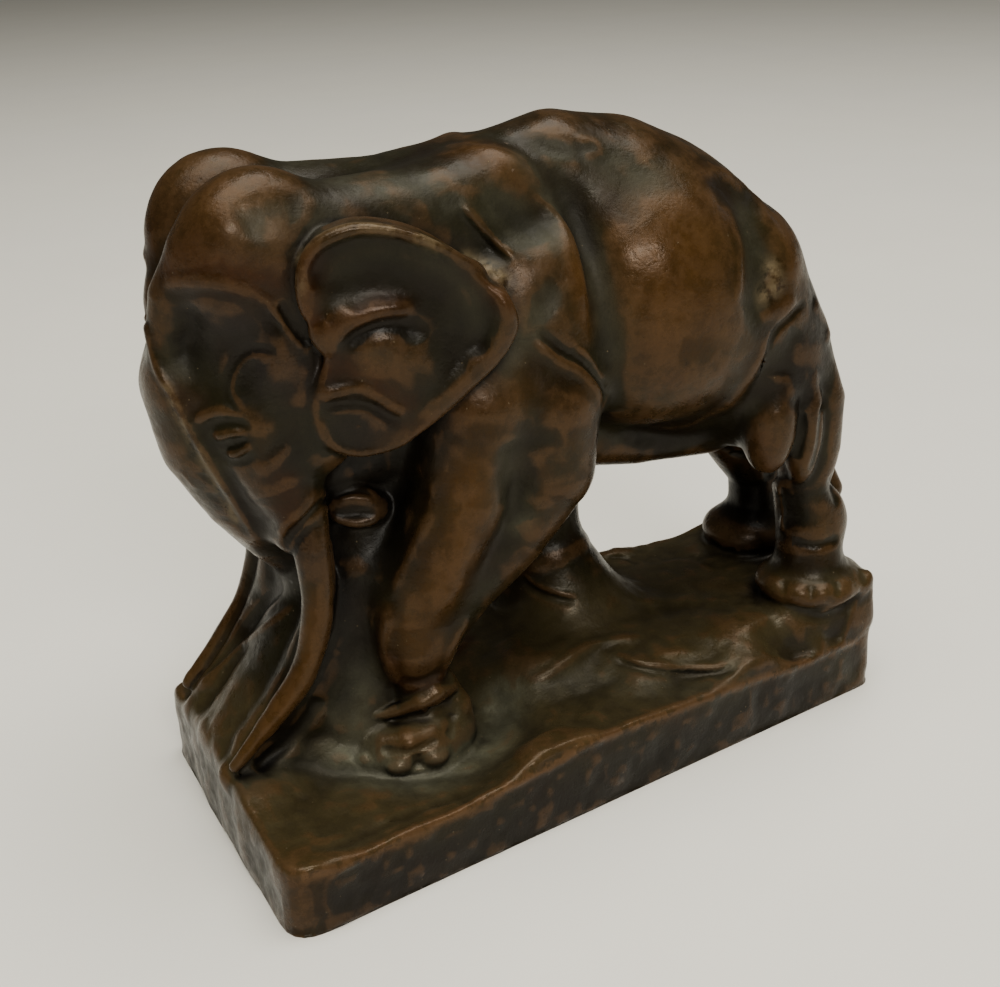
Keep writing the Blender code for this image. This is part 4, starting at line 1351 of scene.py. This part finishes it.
@dataclass
class PatinaAndPaintedLightMap:
    """Tints seen in the photograph, drawn through its lens: patina colours, painted shade and painted
    highlights.
    """

    def draw(self, sketch: Sketch) -> None:
        """Draws the tints.

        Args:
            sketch: The tints.
        """
        both_sides = [
            # Gold on the barrel, hip and dome is partly the brass's own colour and partly a painted
            # highlight.
            (Tone.GOLD_AND_HIGHLIGHT, [(675, 250), (665, 275), (680, 300)], 13, 0.9),
            (Tone.GOLD_AND_HIGHLIGHT, [(690, 200), (650, 215)], 7, 0.6),
            (Tone.GOLD_AND_HIGHLIGHT, [(572, 245), (582, 290), (592, 325)], 4, 0.9),
            (Tone.GOLD_AND_HIGHLIGHT, [(470, 150), (505, 165), (540, 195)], 4, 0.6),
            (Tone.GOLD_AND_HIGHLIGHT, [(790, 240), (798, 280), (785, 305)], 4, 0.7),
            (Tone.GOLD_AND_HIGHLIGHT, [(316, 610), (312, 650), (296, 690), (270, 726), (248, 752)], 4, 0.9),
            (Tone.GOLD_AND_HIGHLIGHT, [(212, 200), (250, 185)], 7, 0.5),
            (Tone.RUST, [(165, 262), (200, 262), (240, 270), (262, 282)], 5, 0.9),
            (Tone.RUST, [(312, 262), (308, 300), (318, 326), (345, 322), (380, 306), (400, 306)], 2.6, 0.9),
            (Tone.RUST, [(330, 366), (345, 366), (375, 378), (395, 395), (405, 402)], 3, 0.8),
            (Tone.RUST, [(490, 285), (505, 300)], 3, 0.8),
            (Tone.RUST, [(175, 395), (185, 405)], 4, 0.6),
            (Tone.RUST, [(286, 484), (292, 500), (284, 515)], 3.5, 0.8),
            (Tone.RUST, [(520, 280), (530, 290)], 4, 0.6),
            (Tone.RUST, [(764, 440), (770, 466), (790, 470)], 3, 0.7),
            (Tone.PLUM, [(200, 310), (240, 330), (265, 375), (300, 370)], 7, 0.9),
            (Tone.PLUM, [(200, 320), (215, 345)], 6, 0.6),
            (Tone.PLUM, [(265, 470), (240, 500), (255, 530)], 6, 0.6),
            (Tone.PLUM, [(352, 430), (380, 425)], 5, 0.6),
            (Tone.PLUM, [(306, 545), (312, 565)], 3.5, 0.7),
            (Tone.GREEN, [(500, 200), (520, 215), (545, 235)], 5, 0.8),
            (Tone.GREEN, [(520, 165), (560, 205), (590, 250), (604, 300), (612, 350)], 3.4, 0.9),
            (Tone.GREEN, [(545, 300), (525, 330), (500, 372)], 5, 0.7),
            (Tone.GREEN, [(340, 180), (400, 185), (450, 200)], 6, 0.6),
            (Tone.GREEN, [(260, 225), (300, 215), (330, 215)], 5, 0.5),
            (Tone.GREEN, [(480, 330), (470, 300), (440, 270)], 3.0, 0.5),
            (Tone.GREEN, [(556, 150), (600, 160), (650, 180)], 5, 0.5),
            (Tone.GREEN, [(745, 215), (758, 260), (755, 305)], 3, 0.6),
            (Tone.PLUM, [(812, 300), (815, 340), (800, 380), (815, 410)], 7, 0.6),
            # Dark patches are painted shade: at the rear of the hip, in the ear, in the eye's slit, behind
            # the tusks, in the ear's fold, under the cheek and under the belly.
            (Tone.DARK, [(814, 270), (822, 320), (818, 370)], 6, 0.7),
            (Tone.DARK, [(400, 300), (440, 330), (430, 372)], 8, 0.5),
            (Tone.DARK, [(211, 446), (222, 447), (235, 445), (247, 441)], 1.0, 0.9),
            (Tone.DARK, [(342, 560), (344, 610), (338, 650), (316, 700), (290, 732), (262, 762)], 2.6, 0.7),
            (Tone.DARK, [(356, 338), (385, 328), (415, 334)], 2.4, 0.7),
            (Tone.DARK, [(300, 462), (292, 500)], 6, 0.55),
            # Green in the lower rim of the temple hollow is a painted highlight.
            (Tone.GREEN, [(190, 366), (180, 372)], 3.4, 0.5),
            (Tone.DARK, [(640, 445), (700, 440), (740, 430)], 4, 0.6),
            (Tone.DARK, [(810, 350), (800, 380)], 8, 0.5),
            (Tone.PALE, [(420, 236), (450, 248), (485, 266), (508, 284)], 1.4, 0.9),
            (Tone.PALE, [(300, 285), (300, 258), (322, 236), (355, 226), (395, 229)], 1.3, 0.6),
            (Tone.PALE, [(772, 268), (777, 284), (765, 296)], 2.0, 0.9),
            (Tone.PALE, [(166, 388), (190, 437), (214, 476), (235, 520)], 1.2, 0.6),
        ]
        near_side = [
            (Tone.GOLD_AND_HIGHLIGHT, [(470, 480), (462, 540), (440, 590), (420, 640)], 6, 0.9),
            (Tone.GOLD_AND_HIGHLIGHT, [(455, 580), (430, 615), (412, 632)], 5, 0.8),
            (Tone.GOLD_AND_HIGHLIGHT, [(480, 400), (520, 380)], 6, 0.5),
            (Tone.GOLD_AND_HIGHLIGHT, [(400, 762), (435, 751), (410, 742)], 3, 0.8),
            (Tone.GOLD_AND_HIGHLIGHT, [(700, 585), (800, 590)], 3, 0.3),
            (Tone.RUST, [(420, 430), (470, 400), (520, 372)], 5, 0.4),
            (Tone.RUST, [(390, 660), (400, 680), (430, 684), (450, 660), (468, 640)], 2.2, 0.8),
            (Tone.PLUM, [(340, 560), (340, 640), (345, 700)], 8, 0.5),
            (Tone.PLUM, [(350, 905), (450, 865), (560, 810), (680, 750), (800, 690)], 9, 0.7),
            (Tone.GREEN, [(510, 455), (510, 490), (520, 520)], 3.4, 0.9),
            # Dark on the plinth's near face is painted shade.
            (Tone.DARK, [(350, 905), (560, 810), (800, 690)], 9, 0.45),
            (Tone.VERDIGRIS, [(350, 758), (380, 776), (430, 778), (470, 758), (496, 730),
                              (500, 700)], 5.5, 0.9),
            (Tone.VERDIGRIS, [(362, 735), (352, 710), (360, 680)], 5, 0.45),
            (Tone.GREEN, [(250, 785), (290, 762), (340, 765)], 4, 0.7),
            (Tone.GREEN, [(520, 690), (600, 675), (680, 690), (740, 680)], 6, 0.5),
            # Dark patches are painted shade: between the tusks, by the near foreleg, under the cheek and
            # between the hind legs.
            (Tone.DARK, [(300, 545), (288, 560), (270, 600)], 4, 0.9),
            (Tone.DARK, [(395, 470), (400, 520), (385, 560)], 7, 0.9),
            (Tone.DARK, [(352, 470), (400, 460), (425, 440)], 5, 0.9),
            (Tone.DARK, [(787, 486), (789, 512), (790, 538)], 4.5, 1.0),
            (Tone.DARK, [(738, 480), (748, 510), (752, 536)], 8, 1.0),
            (Tone.WORN, [(288, 873), (325, 873), (381, 846), (448, 817), (520, 782), (588, 744),
                         (684, 706), (756, 680), (859, 641)], 1.3, 0.9),
        ]
        for both, patches in ((True, both_sides), (False, near_side)):
            for tone, rows, radius, strength in patches:
                sketch.tint(tone, rows, radius, strength, both)


# Materials

class Wire:
    """A value in a node tree that can be reckoned with like a number."""

    def __init__(self, tree: bpy.types.NodeTree, socket: bpy.types.NodeSocket) -> None:
        self.tree = tree
        self.socket = socket

    def _math(self, operation: str, *values: Wire | float, clamp: bool = False) -> Wire:
        node = self.tree.nodes.new("ShaderNodeMath")
        node.operation = operation
        node.use_clamp = clamp
        for slot, value in zip(node.inputs, values):
            if isinstance(value, Wire):
                self.tree.links.new(value.socket, slot)
            else:
                slot.default_value = value
        return Wire(self.tree, node.outputs[0])

    def __add__(self, other: Wire | float) -> Wire:
        return self._math("ADD", self, other)

    __radd__ = __add__

    def __sub__(self, other: Wire | float) -> Wire:
        return self._math("SUBTRACT", self, other)

    def __rsub__(self, other: Wire | float) -> Wire:
        return self._math("SUBTRACT", other, self)

    def __mul__(self, other: Wire | float) -> Wire:
        return self._math("MULTIPLY", self, other)

    __rmul__ = __mul__

    def clamped(self) -> Wire:
        """The value cut to the range from 0 to 1.

        Returns:
            The cut value.
        """
        return self._math("ADD", self, 0.0, clamp=True)

    def between(self, low: float, high: float) -> Wire:
        """How far the value is from low to high, with a smooth start and end.

        Args:
            low: Where the share is 0.
            high: Where the share is 1.

        Returns:
            The share.
        """
        node = self.tree.nodes.new("ShaderNodeMapRange")
        node.interpolation_type = "SMOOTHSTEP"
        self.tree.links.new(self.socket, node.inputs["Value"])
        node.inputs["From Min"].default_value = low
        node.inputs["From Max"].default_value = high
        return Wire(self.tree, node.outputs["Result"])


class Paint:
    """A material under construction.

    Args:
        name: The material's name.
    """

    def __init__(self, name: str) -> None:
        self.material = bpy.data.materials.new(name)
        self.material.use_nodes = True
        self.tree = self.material.node_tree
        self.shader = self.tree.nodes["Principled BSDF"]
        self.place = self.node("ShaderNodeTexCoord").outputs["Object"]

    def node(self, kind: str, settings: dict | None = None, inputs: dict | None = None) -> bpy.types.Node:
        """Adds a node.

        Args:
            kind: Its type.
            settings: Its properties.
            inputs: What goes into its sockets, a Wire, a socket or a constant each.

        Returns:
            The node.
        """
        made = self.tree.nodes.new(kind)
        for key, value in (settings or {}).items():
            setattr(made, key, value)
        for key, value in (inputs or {}).items():
            self.feed(made.inputs[key], value)
        return made

    def feed(self, slot: bpy.types.NodeSocket, value: Wire | bpy.types.NodeSocket | float | tuple) -> None:
        """Puts a value into a socket.

        Args:
            slot: The socket.
            value: A Wire, an output socket or a constant.
        """
        if isinstance(value, Wire):
            self.tree.links.new(value.socket, slot)
        elif isinstance(value, bpy.types.NodeSocket):
            self.tree.links.new(value, slot)
        else:
            slot.default_value = value

    def layer(self, name: str) -> Wire:
        """Reads an attribute of the mesh.

        Args:
            name: The attribute's name.

        Returns:
            Its value.
        """
        made = self.node("ShaderNodeAttribute", {"attribute_name": name})
        return Wire(self.tree, made.outputs["Fac"])

    def cloud(self, scale: float, detail: float = 3.0, roughness: float = 0.55,
              stretch: tuple[float, float, float] | None = None) -> Wire:
        """Noise on Object coordinates.

        Args:
            scale: Size of one cell in millimetres.
            detail: How many finer layers it has.
            roughness: How strong the finer layers are.
            stretch: Scale along each axis, if it isn't even.

        Returns:
            A value round 0.5.
        """
        place = self.place
        if stretch is not None:
            mapping = self.node("ShaderNodeMapping", None, {"Vector": self.place, "Scale": stretch})
            place = mapping.outputs["Vector"]
        made = self.node("ShaderNodeTexNoise", None, {
            "Vector": place, "Scale": 1 / (scale * MILLIMETRE), "Detail": detail, "Roughness": roughness})
        return Wire(self.tree, made.outputs["Fac"])

    def specks(self, scale: float, size: float) -> Wire:
        """Small round specks on Object coordinates.

        Args:
            scale: Distance between specks in millimetres.
            size: Their radius as a share of that distance.

        Returns:
            1 in a speck and 0 between them.
        """
        made = self.node("ShaderNodeTexVoronoi", {"feature": "F1"}, {
            "Vector": self.place, "Scale": 1 / (scale * MILLIMETRE)})
        return 1 - Wire(self.tree, made.outputs["Distance"]).between(size * 0.5, size)

    def mix(self, share: Wire | float, below: tuple | bpy.types.NodeSocket,
            above: tuple | bpy.types.NodeSocket, kind: str = "MIX") -> bpy.types.NodeSocket:
        """Mixes two colours.

        Args:
            share: How much of the upper one shows.
            below: The lower colour.
            above: The upper colour.
            kind: How they mix.

        Returns:
            The mixed colour.
        """
        made = self.tree.nodes.new("ShaderNodeMix")
        made.data_type = "RGBA"
        made.blend_type = kind
        self.feed(made.inputs["Factor"], share)
        self.feed(made.inputs[6], below)
        self.feed(made.inputs[7], above)
        return made.outputs[2]


@dataclass(frozen=True)
class BronzeColoursAndPaintedLight:
    """Colours and gloss of the patinated brass, with painted shade, painted highlights and painted top light.
    """

    brown: tuple = (0.011, 0.0072, 0.003, 1)
    olive: tuple = (0.014, 0.012, 0.005, 1)
    # Gold, also used as a painted highlight.
    gold_and_highlight: tuple = (0.046, 0.019, 0.0012, 1)
    rust: tuple = (0.030, 0.009, 0.0008, 1)
    plum: tuple = (0.011, 0.0085, 0.0072, 1)
    green: tuple = (0.040, 0.038, 0.023, 1)
    pale: tuple = (0.115, 0.085, 0.045, 1)
    copper: tuple = (0.080, 0.042, 0.018, 1)
    # Colour of the painted shade.
    painted_shade: tuple = (0.004, 0.003, 0.002, 1)
    verdigris: tuple = (0.092, 0.090, 0.058, 1)
    # Colour of the painted light on the ground's upward faces.
    ground_top_light: tuple = (0.048, 0.036, 0.015, 1)
    metallic: float = 0.20
    specular: float = 0.15
    gloss: float = 0.26
    dull: float = 0.58

    def paint(self) -> bpy.types.Material:
        """Makes the material.

        Returns:
            The material.
        """
        paint = Paint("patinated_brass_and_painted_light")
        patches = paint.cloud(14, 4)
        mottle = paint.cloud(3.2, 5, 0.6)
        grain = paint.cloud(0.7, 3, 0.6)
        streaks = paint.cloud(5, 4, 0.6, stretch=(1.0, 1.0, 0.35))
        colour = paint.mix(patches.between(0.35, 0.65), self.brown, self.olive)
        swell, ridge, cleft = (paint.layer(name) for name in ("swell", "ridge", "cleft"))
        broken = mottle.between(0.30, 0.62) * 0.55 + 0.45
        # Painted light: upward faces of the low ground are lighter.
        colour = paint.mix(paint.layer("ground_top_light") * 0.8, colour, self.ground_top_light)
        # Broad swells take gold: partly the brass's own colour, partly a painted highlight.
        colour = paint.mix((swell.between(0.52, 0.85) * broken * 0.35).clamped(), colour, self.gold_and_highlight)
        for name, tone, strength in (("gold_and_highlight", self.gold_and_highlight, 0.85), ("plum", self.plum, 0.85),
                                     ("rust", self.rust, 0.80), ("green", self.green, 0.80),
                                     ("verdigris", self.verdigris, 0.85)):
            share = (paint.layer(name) * (0.45 + mottle * 1.1) * strength).clamped()
            colour = paint.mix(share, colour, tone)
        # Painted shade: hollows, creases and clefts are darkened.
        hollow_shade = (0.46 - swell).clamped() * 1.6 + (0.5 - ridge).clamped() * 0.8
        colour = paint.mix((hollow_shade * 0.4 + cleft.between(0.45, 1.1) * 0.6).clamped(), colour, self.painted_shade)
        # Painted shade from the dark patches drawn on the form.
        colour = paint.mix((paint.layer("painted_shade") * 0.85).clamped(), colour, self.painted_shade)
        edge = ridge.between(0.62, 1.0) * broken
        colour = paint.mix((edge * 0.40).clamped(), colour, self.copper)
        colour = paint.mix((paint.layer("worn") * mottle.between(0.38, 0.55)).clamped(), colour, self.copper)
        colour = paint.mix((paint.layer("pale") * mottle.between(0.36, 0.56)).clamped(), colour, self.pale)
        colour = paint.mix(1.0, colour, self.shade(paint, grain, streaks), "MULTIPLY")
        specks = paint.specks(2.6, 0.085) * paint.cloud(9, 2).between(0.48, 0.62)
        colour = paint.mix(specks * 0.7, colour, self.pale)
        paint.feed(paint.shader.inputs["Base Color"], colour)
        paint.feed(paint.shader.inputs["Metallic"], self.metallic)
        paint.feed(paint.shader.inputs["Specular IOR Level"], self.specular)
        green = paint.layer("green")
        dulled = mottle.between(0.35, 0.7) * 0.5 + green * 0.6 + cleft * 0.5
        rough = self.gloss + (self.dull - self.gloss) * dulled
        paint.feed(paint.shader.inputs["Roughness"], (rough - edge * 0.05).clamped())
        height = mottle * 0.10 + grain * 0.05 + paint.cloud(1.5, 2) * 0.07 - specks * 0.05
        bump = paint.node("ShaderNodeBump", None, {
            "Height": height, "Strength": 1.0, "Distance": MILLIMETRE})
        paint.feed(paint.shader.inputs["Normal"], bump.outputs["Normal"])
        return paint.material

    def shade(self, paint: Paint, grain: Wire, streaks: Wire) -> bpy.types.NodeSocket:
        """A grey that darkens and lightens the colour a little.

        Args:
            paint: The material.
            grain: Fine noise.
            streaks: Stretched noise.

        Returns:
            The grey as a colour.
        """
        value = (grain - 0.5) * 0.5 + (streaks - 0.5) * 0.7 + 1.0
        made = paint.node("ShaderNodeCombineColor", None, {"Red": value, "Green": value, "Blue": value})
        return made.outputs["Color"]


# The casting

@dataclass
class Casting:
    """The elephant and its ground in one fine skin.

    Attributes:
        first_cell: Cell of the first remesh in millimetres.
        cell: Cell of the fine remesh in millimetres.
        rounds: How often the skin is drawn onto the form after each remesh.
        most: Triangles that are kept.
        lens: The photograph's lens.
    """

    first_cell: float = 1.3
    cell: float = 0.6
    rounds: int = 4
    most: int = 190000
    lens: Lens = field(default_factory=Lens)

    def model(self) -> tuple[Clay, list[Tint]]:
        """Lays and marks the whole form.

        Returns:
            The form, and the tints on it.
        """
        clay = Clay()
        parts = [Ground(), Trunk(), Legs(), Head(), Tusks(), Ears()]
        for part in parts:
            part.lay(clay)
            LOG.info("laid: %s", type(part).__name__)
        sketch = Sketch(self.lens)
        for part in parts:
            part.draw(sketch)
        PatinaAndPaintedLightMap().draw(sketch)
        return clay, sketch.settle(clay)

    def remeshed(self, mesh: bpy.types.Mesh, kind: str, **settings: object) -> bpy.types.Mesh:
        """The mesh that one modifier makes.

        Args:
            mesh: The mesh, which is used up.
            kind: The modifier's type.
            **settings: The modifier's settings.

        Returns:
            The new mesh.
        """
        holder = bpy.data.objects.new("holder", mesh)
        bpy.context.scene.collection.objects.link(holder)
        modifier = holder.modifiers.new(kind.title(), kind)
        for setting, value in settings.items():
            setattr(modifier, setting, value)
        result = bpy.data.meshes.new_from_object(holder.evaluated_get(bpy.context.evaluated_depsgraph_get()))
        bpy.data.objects.remove(holder)
        bpy.data.meshes.remove(mesh)
        return result

    def keep_skin(self, mesh: bpy.types.Mesh) -> None:
        """Removes crumbs that aren't joined to the skin.

        Args:
            mesh: The mesh.
        """
        skin = bmesh.new()
        skin.from_mesh(mesh)
        start = max(skin.verts, key=lambda vert: vert.co.z)
        joined = {start}
        edge_of_search = [start]
        while edge_of_search:
            for edge in edge_of_search.pop().link_edges:
                for vert in edge.verts:
                    if vert not in joined:
                        joined.add(vert)
                        edge_of_search.append(vert)
        crumbs = [vert for vert in skin.verts if vert not in joined]
        bmesh.ops.delete(skin, geom=crumbs, context="VERTS")
        skin.to_mesh(mesh)
        skin.free()
        LOG.info("crumbs removed: %d points", len(crumbs))

    def draw_onto(self, mesh: bpy.types.Mesh, clay: Clay, rounds: int) -> None:
        """Moves every point along its normal until it lies on the form.

        Args:
            mesh: The mesh in millimetres.
            clay: The form.
            rounds: How many moves are made.
        """
        share, longest = 0.9, 0.9
        points = read(mesh)
        for _ in range(rounds):
            left = clay.distance(points)
            points -= read(mesh, "normal") * np.clip(left * share, -longest, longest)[:, None]
            move(mesh, points)
        LOG.info("drawn onto the form: %d points, mean error %.3f mm", len(points), np.abs(left).mean())

    def roughen(self, mesh: bpy.types.Mesh) -> None:
        """Gives the skin the small unevenness of a casting from worked wax.

        Args:
            mesh: The mesh in millimetres.
        """
        points = read(mesh)
        underside, ground_top, change = 0.6, 34, 10
        ground = eased((ground_top - points[:, 2]) / change)
        broad = (0.16 + 0.22 * ground) * noise(points, 6.5, 3)
        small = (0.06 + 0.12 * ground) * noise(points, 2.6, 7)
        uneven = np.where(points[:, 2] < underside, 0, broad + small)
        move(mesh, points + read(mesh, "normal") * uneven[:, None])

    def fitted(self, mesh: bpy.types.Mesh) -> None:
        """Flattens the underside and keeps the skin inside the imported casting's box.

        Args:
            mesh: The mesh in millimetres.
        """
        flat_within = 0.3
        low, high = (np.array(corner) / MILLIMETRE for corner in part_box(CASTING))
        points = np.clip(read(mesh), low, high)
        points[points[:, 2] < flat_within, 2] = 0
        move(mesh, points)

    def build(self, clay: Clay, tints: list[Tint]) -> bpy.types.Object:
        """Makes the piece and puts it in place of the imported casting.

        Args:
            clay: The form.
            tints: The tints on it.

        Returns:
            The piece.
        """
        packed = bmesh.new()
        packed.from_mesh(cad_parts[CASTING].data)
        bmesh.ops.remove_doubles(packed, verts=packed.verts[:], dist=1e-6)
        bmesh.ops.scale(packed, vec=(1 / MILLIMETRE,) * 3, verts=packed.verts[:])
        mesh = bpy.data.meshes.new("fine")
        packed.to_mesh(mesh)
        packed.free()
        mesh = self.remeshed(mesh, "REMESH", mode="VOXEL", voxel_size=self.first_cell)
        self.draw_onto(mesh, clay, self.rounds)
        mesh = self.remeshed(mesh, "REMESH", mode="VOXEL", voxel_size=self.cell)
        self.keep_skin(mesh)
        self.draw_onto(mesh, clay, self.rounds)
        self.roughen(mesh)
        if len(mesh.polygons) * 2 > self.most:
            mesh = self.remeshed(mesh, "DECIMATE", ratio=self.most / (2 * len(mesh.polygons)),
                                 use_collapse_triangulate=True)
        self.fitted(mesh)
        PatinaAndPaintedLight(mesh, clay, tints).store()
        mesh.transform(Matrix.Diagonal((MILLIMETRE, MILLIMETRE, MILLIMETRE, 1)))
        mesh.shade_smooth()
        mesh.name = "elephant_skin"
        piece = bpy.data.objects.new("elephant_skin", mesh)
        bpy.context.scene.collection.objects.link(piece)
        mesh.materials.clear()
        mesh.materials.append(BronzeColoursAndPaintedLight().paint())
        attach(piece, "root")
        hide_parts(CASTING)
        LOG.info("piece %s: %d triangles", piece.name, sum(len(face.vertices) - 2 for face in mesh.polygons))
        return piece


# Table, lights and camera

@dataclass
class Studio:
    """The pale table, soft light and the photograph's camera.

    Attributes:
        lens: The photograph's lens.
    """

    lens: Lens = field(default_factory=Lens)

    def table(self) -> bpy.types.Object:
        """Lays the wide pale table top.

        Returns:
            The table.
        """
        size = 3.0
        mesh = bpy.data.meshes.new("table_top")
        sheet = bmesh.new()
        bmesh.ops.create_grid(sheet, x_segments=2, y_segments=2, size=size)
        sheet.to_mesh(mesh)
        sheet.free()
        table = bpy.data.objects.new("table_top", mesh)
        bpy.context.scene.collection.objects.link(table)
        paint = Paint("pale_table")
        cloud = paint.cloud(60, 3)
        paint.feed(paint.shader.inputs["Base Color"],
                   paint.mix(cloud, (0.76, 0.735, 0.66, 1), (0.80, 0.775, 0.70, 1)))
        paint.feed(paint.shader.inputs["Roughness"], 0.75)
        mesh.materials.append(paint.material)
        return table

    def light(self, name: str, place: tuple, aim: tuple, size: float, power: float,
              colour: tuple = (1, 1, 1)) -> bpy.types.Object:
        """Hangs a soft light.

        Args:
            name: Its name.
            place: Where it hangs, in metres.
            aim: What it points at.
            size: Its width in metres.
            power: Its power in watts.
            colour: Its colour.

        Returns:
            The light.
        """
        lamp = bpy.data.lights.new(name, "AREA")
        lamp.shape = "RECTANGLE"
        lamp.size = size
        lamp.size_y = size * 0.7
        lamp.energy = power
        lamp.color = colour
        holder = bpy.data.objects.new(name, lamp)
        holder.location = place
        holder.rotation_euler = (Vector(aim) - Vector(place)).to_track_quat("-Z", "Y").to_euler()
        bpy.context.scene.collection.objects.link(holder)
        return holder

    def world(self) -> None:
        """Gives the room its soft pale light."""
        world = bpy.data.worlds.new("room")
        world.use_nodes = True
        background = world.node_tree.nodes["Background"]
        background.inputs["Color"].default_value = (0.86, 0.84, 0.78, 1)
        background.inputs["Strength"].default_value = 0.08
        bpy.context.scene.world = world

    def camera(self) -> bpy.types.Object:
        """Puts the camera where the photograph was taken from.

        Returns:
            The camera.
        """
        data = bpy.data.cameras.new("camera")
        data.sensor_width = 36
        data.lens = self.lens.focal / 1000 * data.sensor_width
        data.clip_start = 0.01
        data.clip_end = 50
        holder = bpy.data.objects.new("camera", data)
        place = Matrix(self.lens.axes().tolist()).to_4x4()
        place.translation = Vector(self.lens.place) * MILLIMETRE
        holder.matrix_world = place
        bpy.context.scene.collection.objects.link(holder)
        bpy.context.scene.camera = holder
        return holder

    def set_up(self) -> None:
        """Sets the whole scene."""
        self.table()
        middle = (0.0, 0.0, 0.08)
        self.light("window", (-0.15, -0.85, 0.65), middle, 0.36, 6.0, (1.0, 0.97, 0.90))
        self.light("ceiling", (0.05, -0.10, 1.4), middle, 1.5, 35.0, (1.0, 0.975, 0.90))
        self.light("side", (1.05, 0.05, 0.60), middle, 0.4, 0.2, (0.97, 0.98, 1.0))
        self.world()
        self.camera()
        LOG.info("studio is set")


def main() -> None:
    """Makes the piece, the table, the light and the camera."""
    logging.basicConfig(level=logging.INFO, format="%(name)s: %(message)s")
    casting = Casting()
    clay, tints = casting.model()
    casting.build(clay, tints)
    Studio().set_up()


if __name__ == "__main__":
    main()
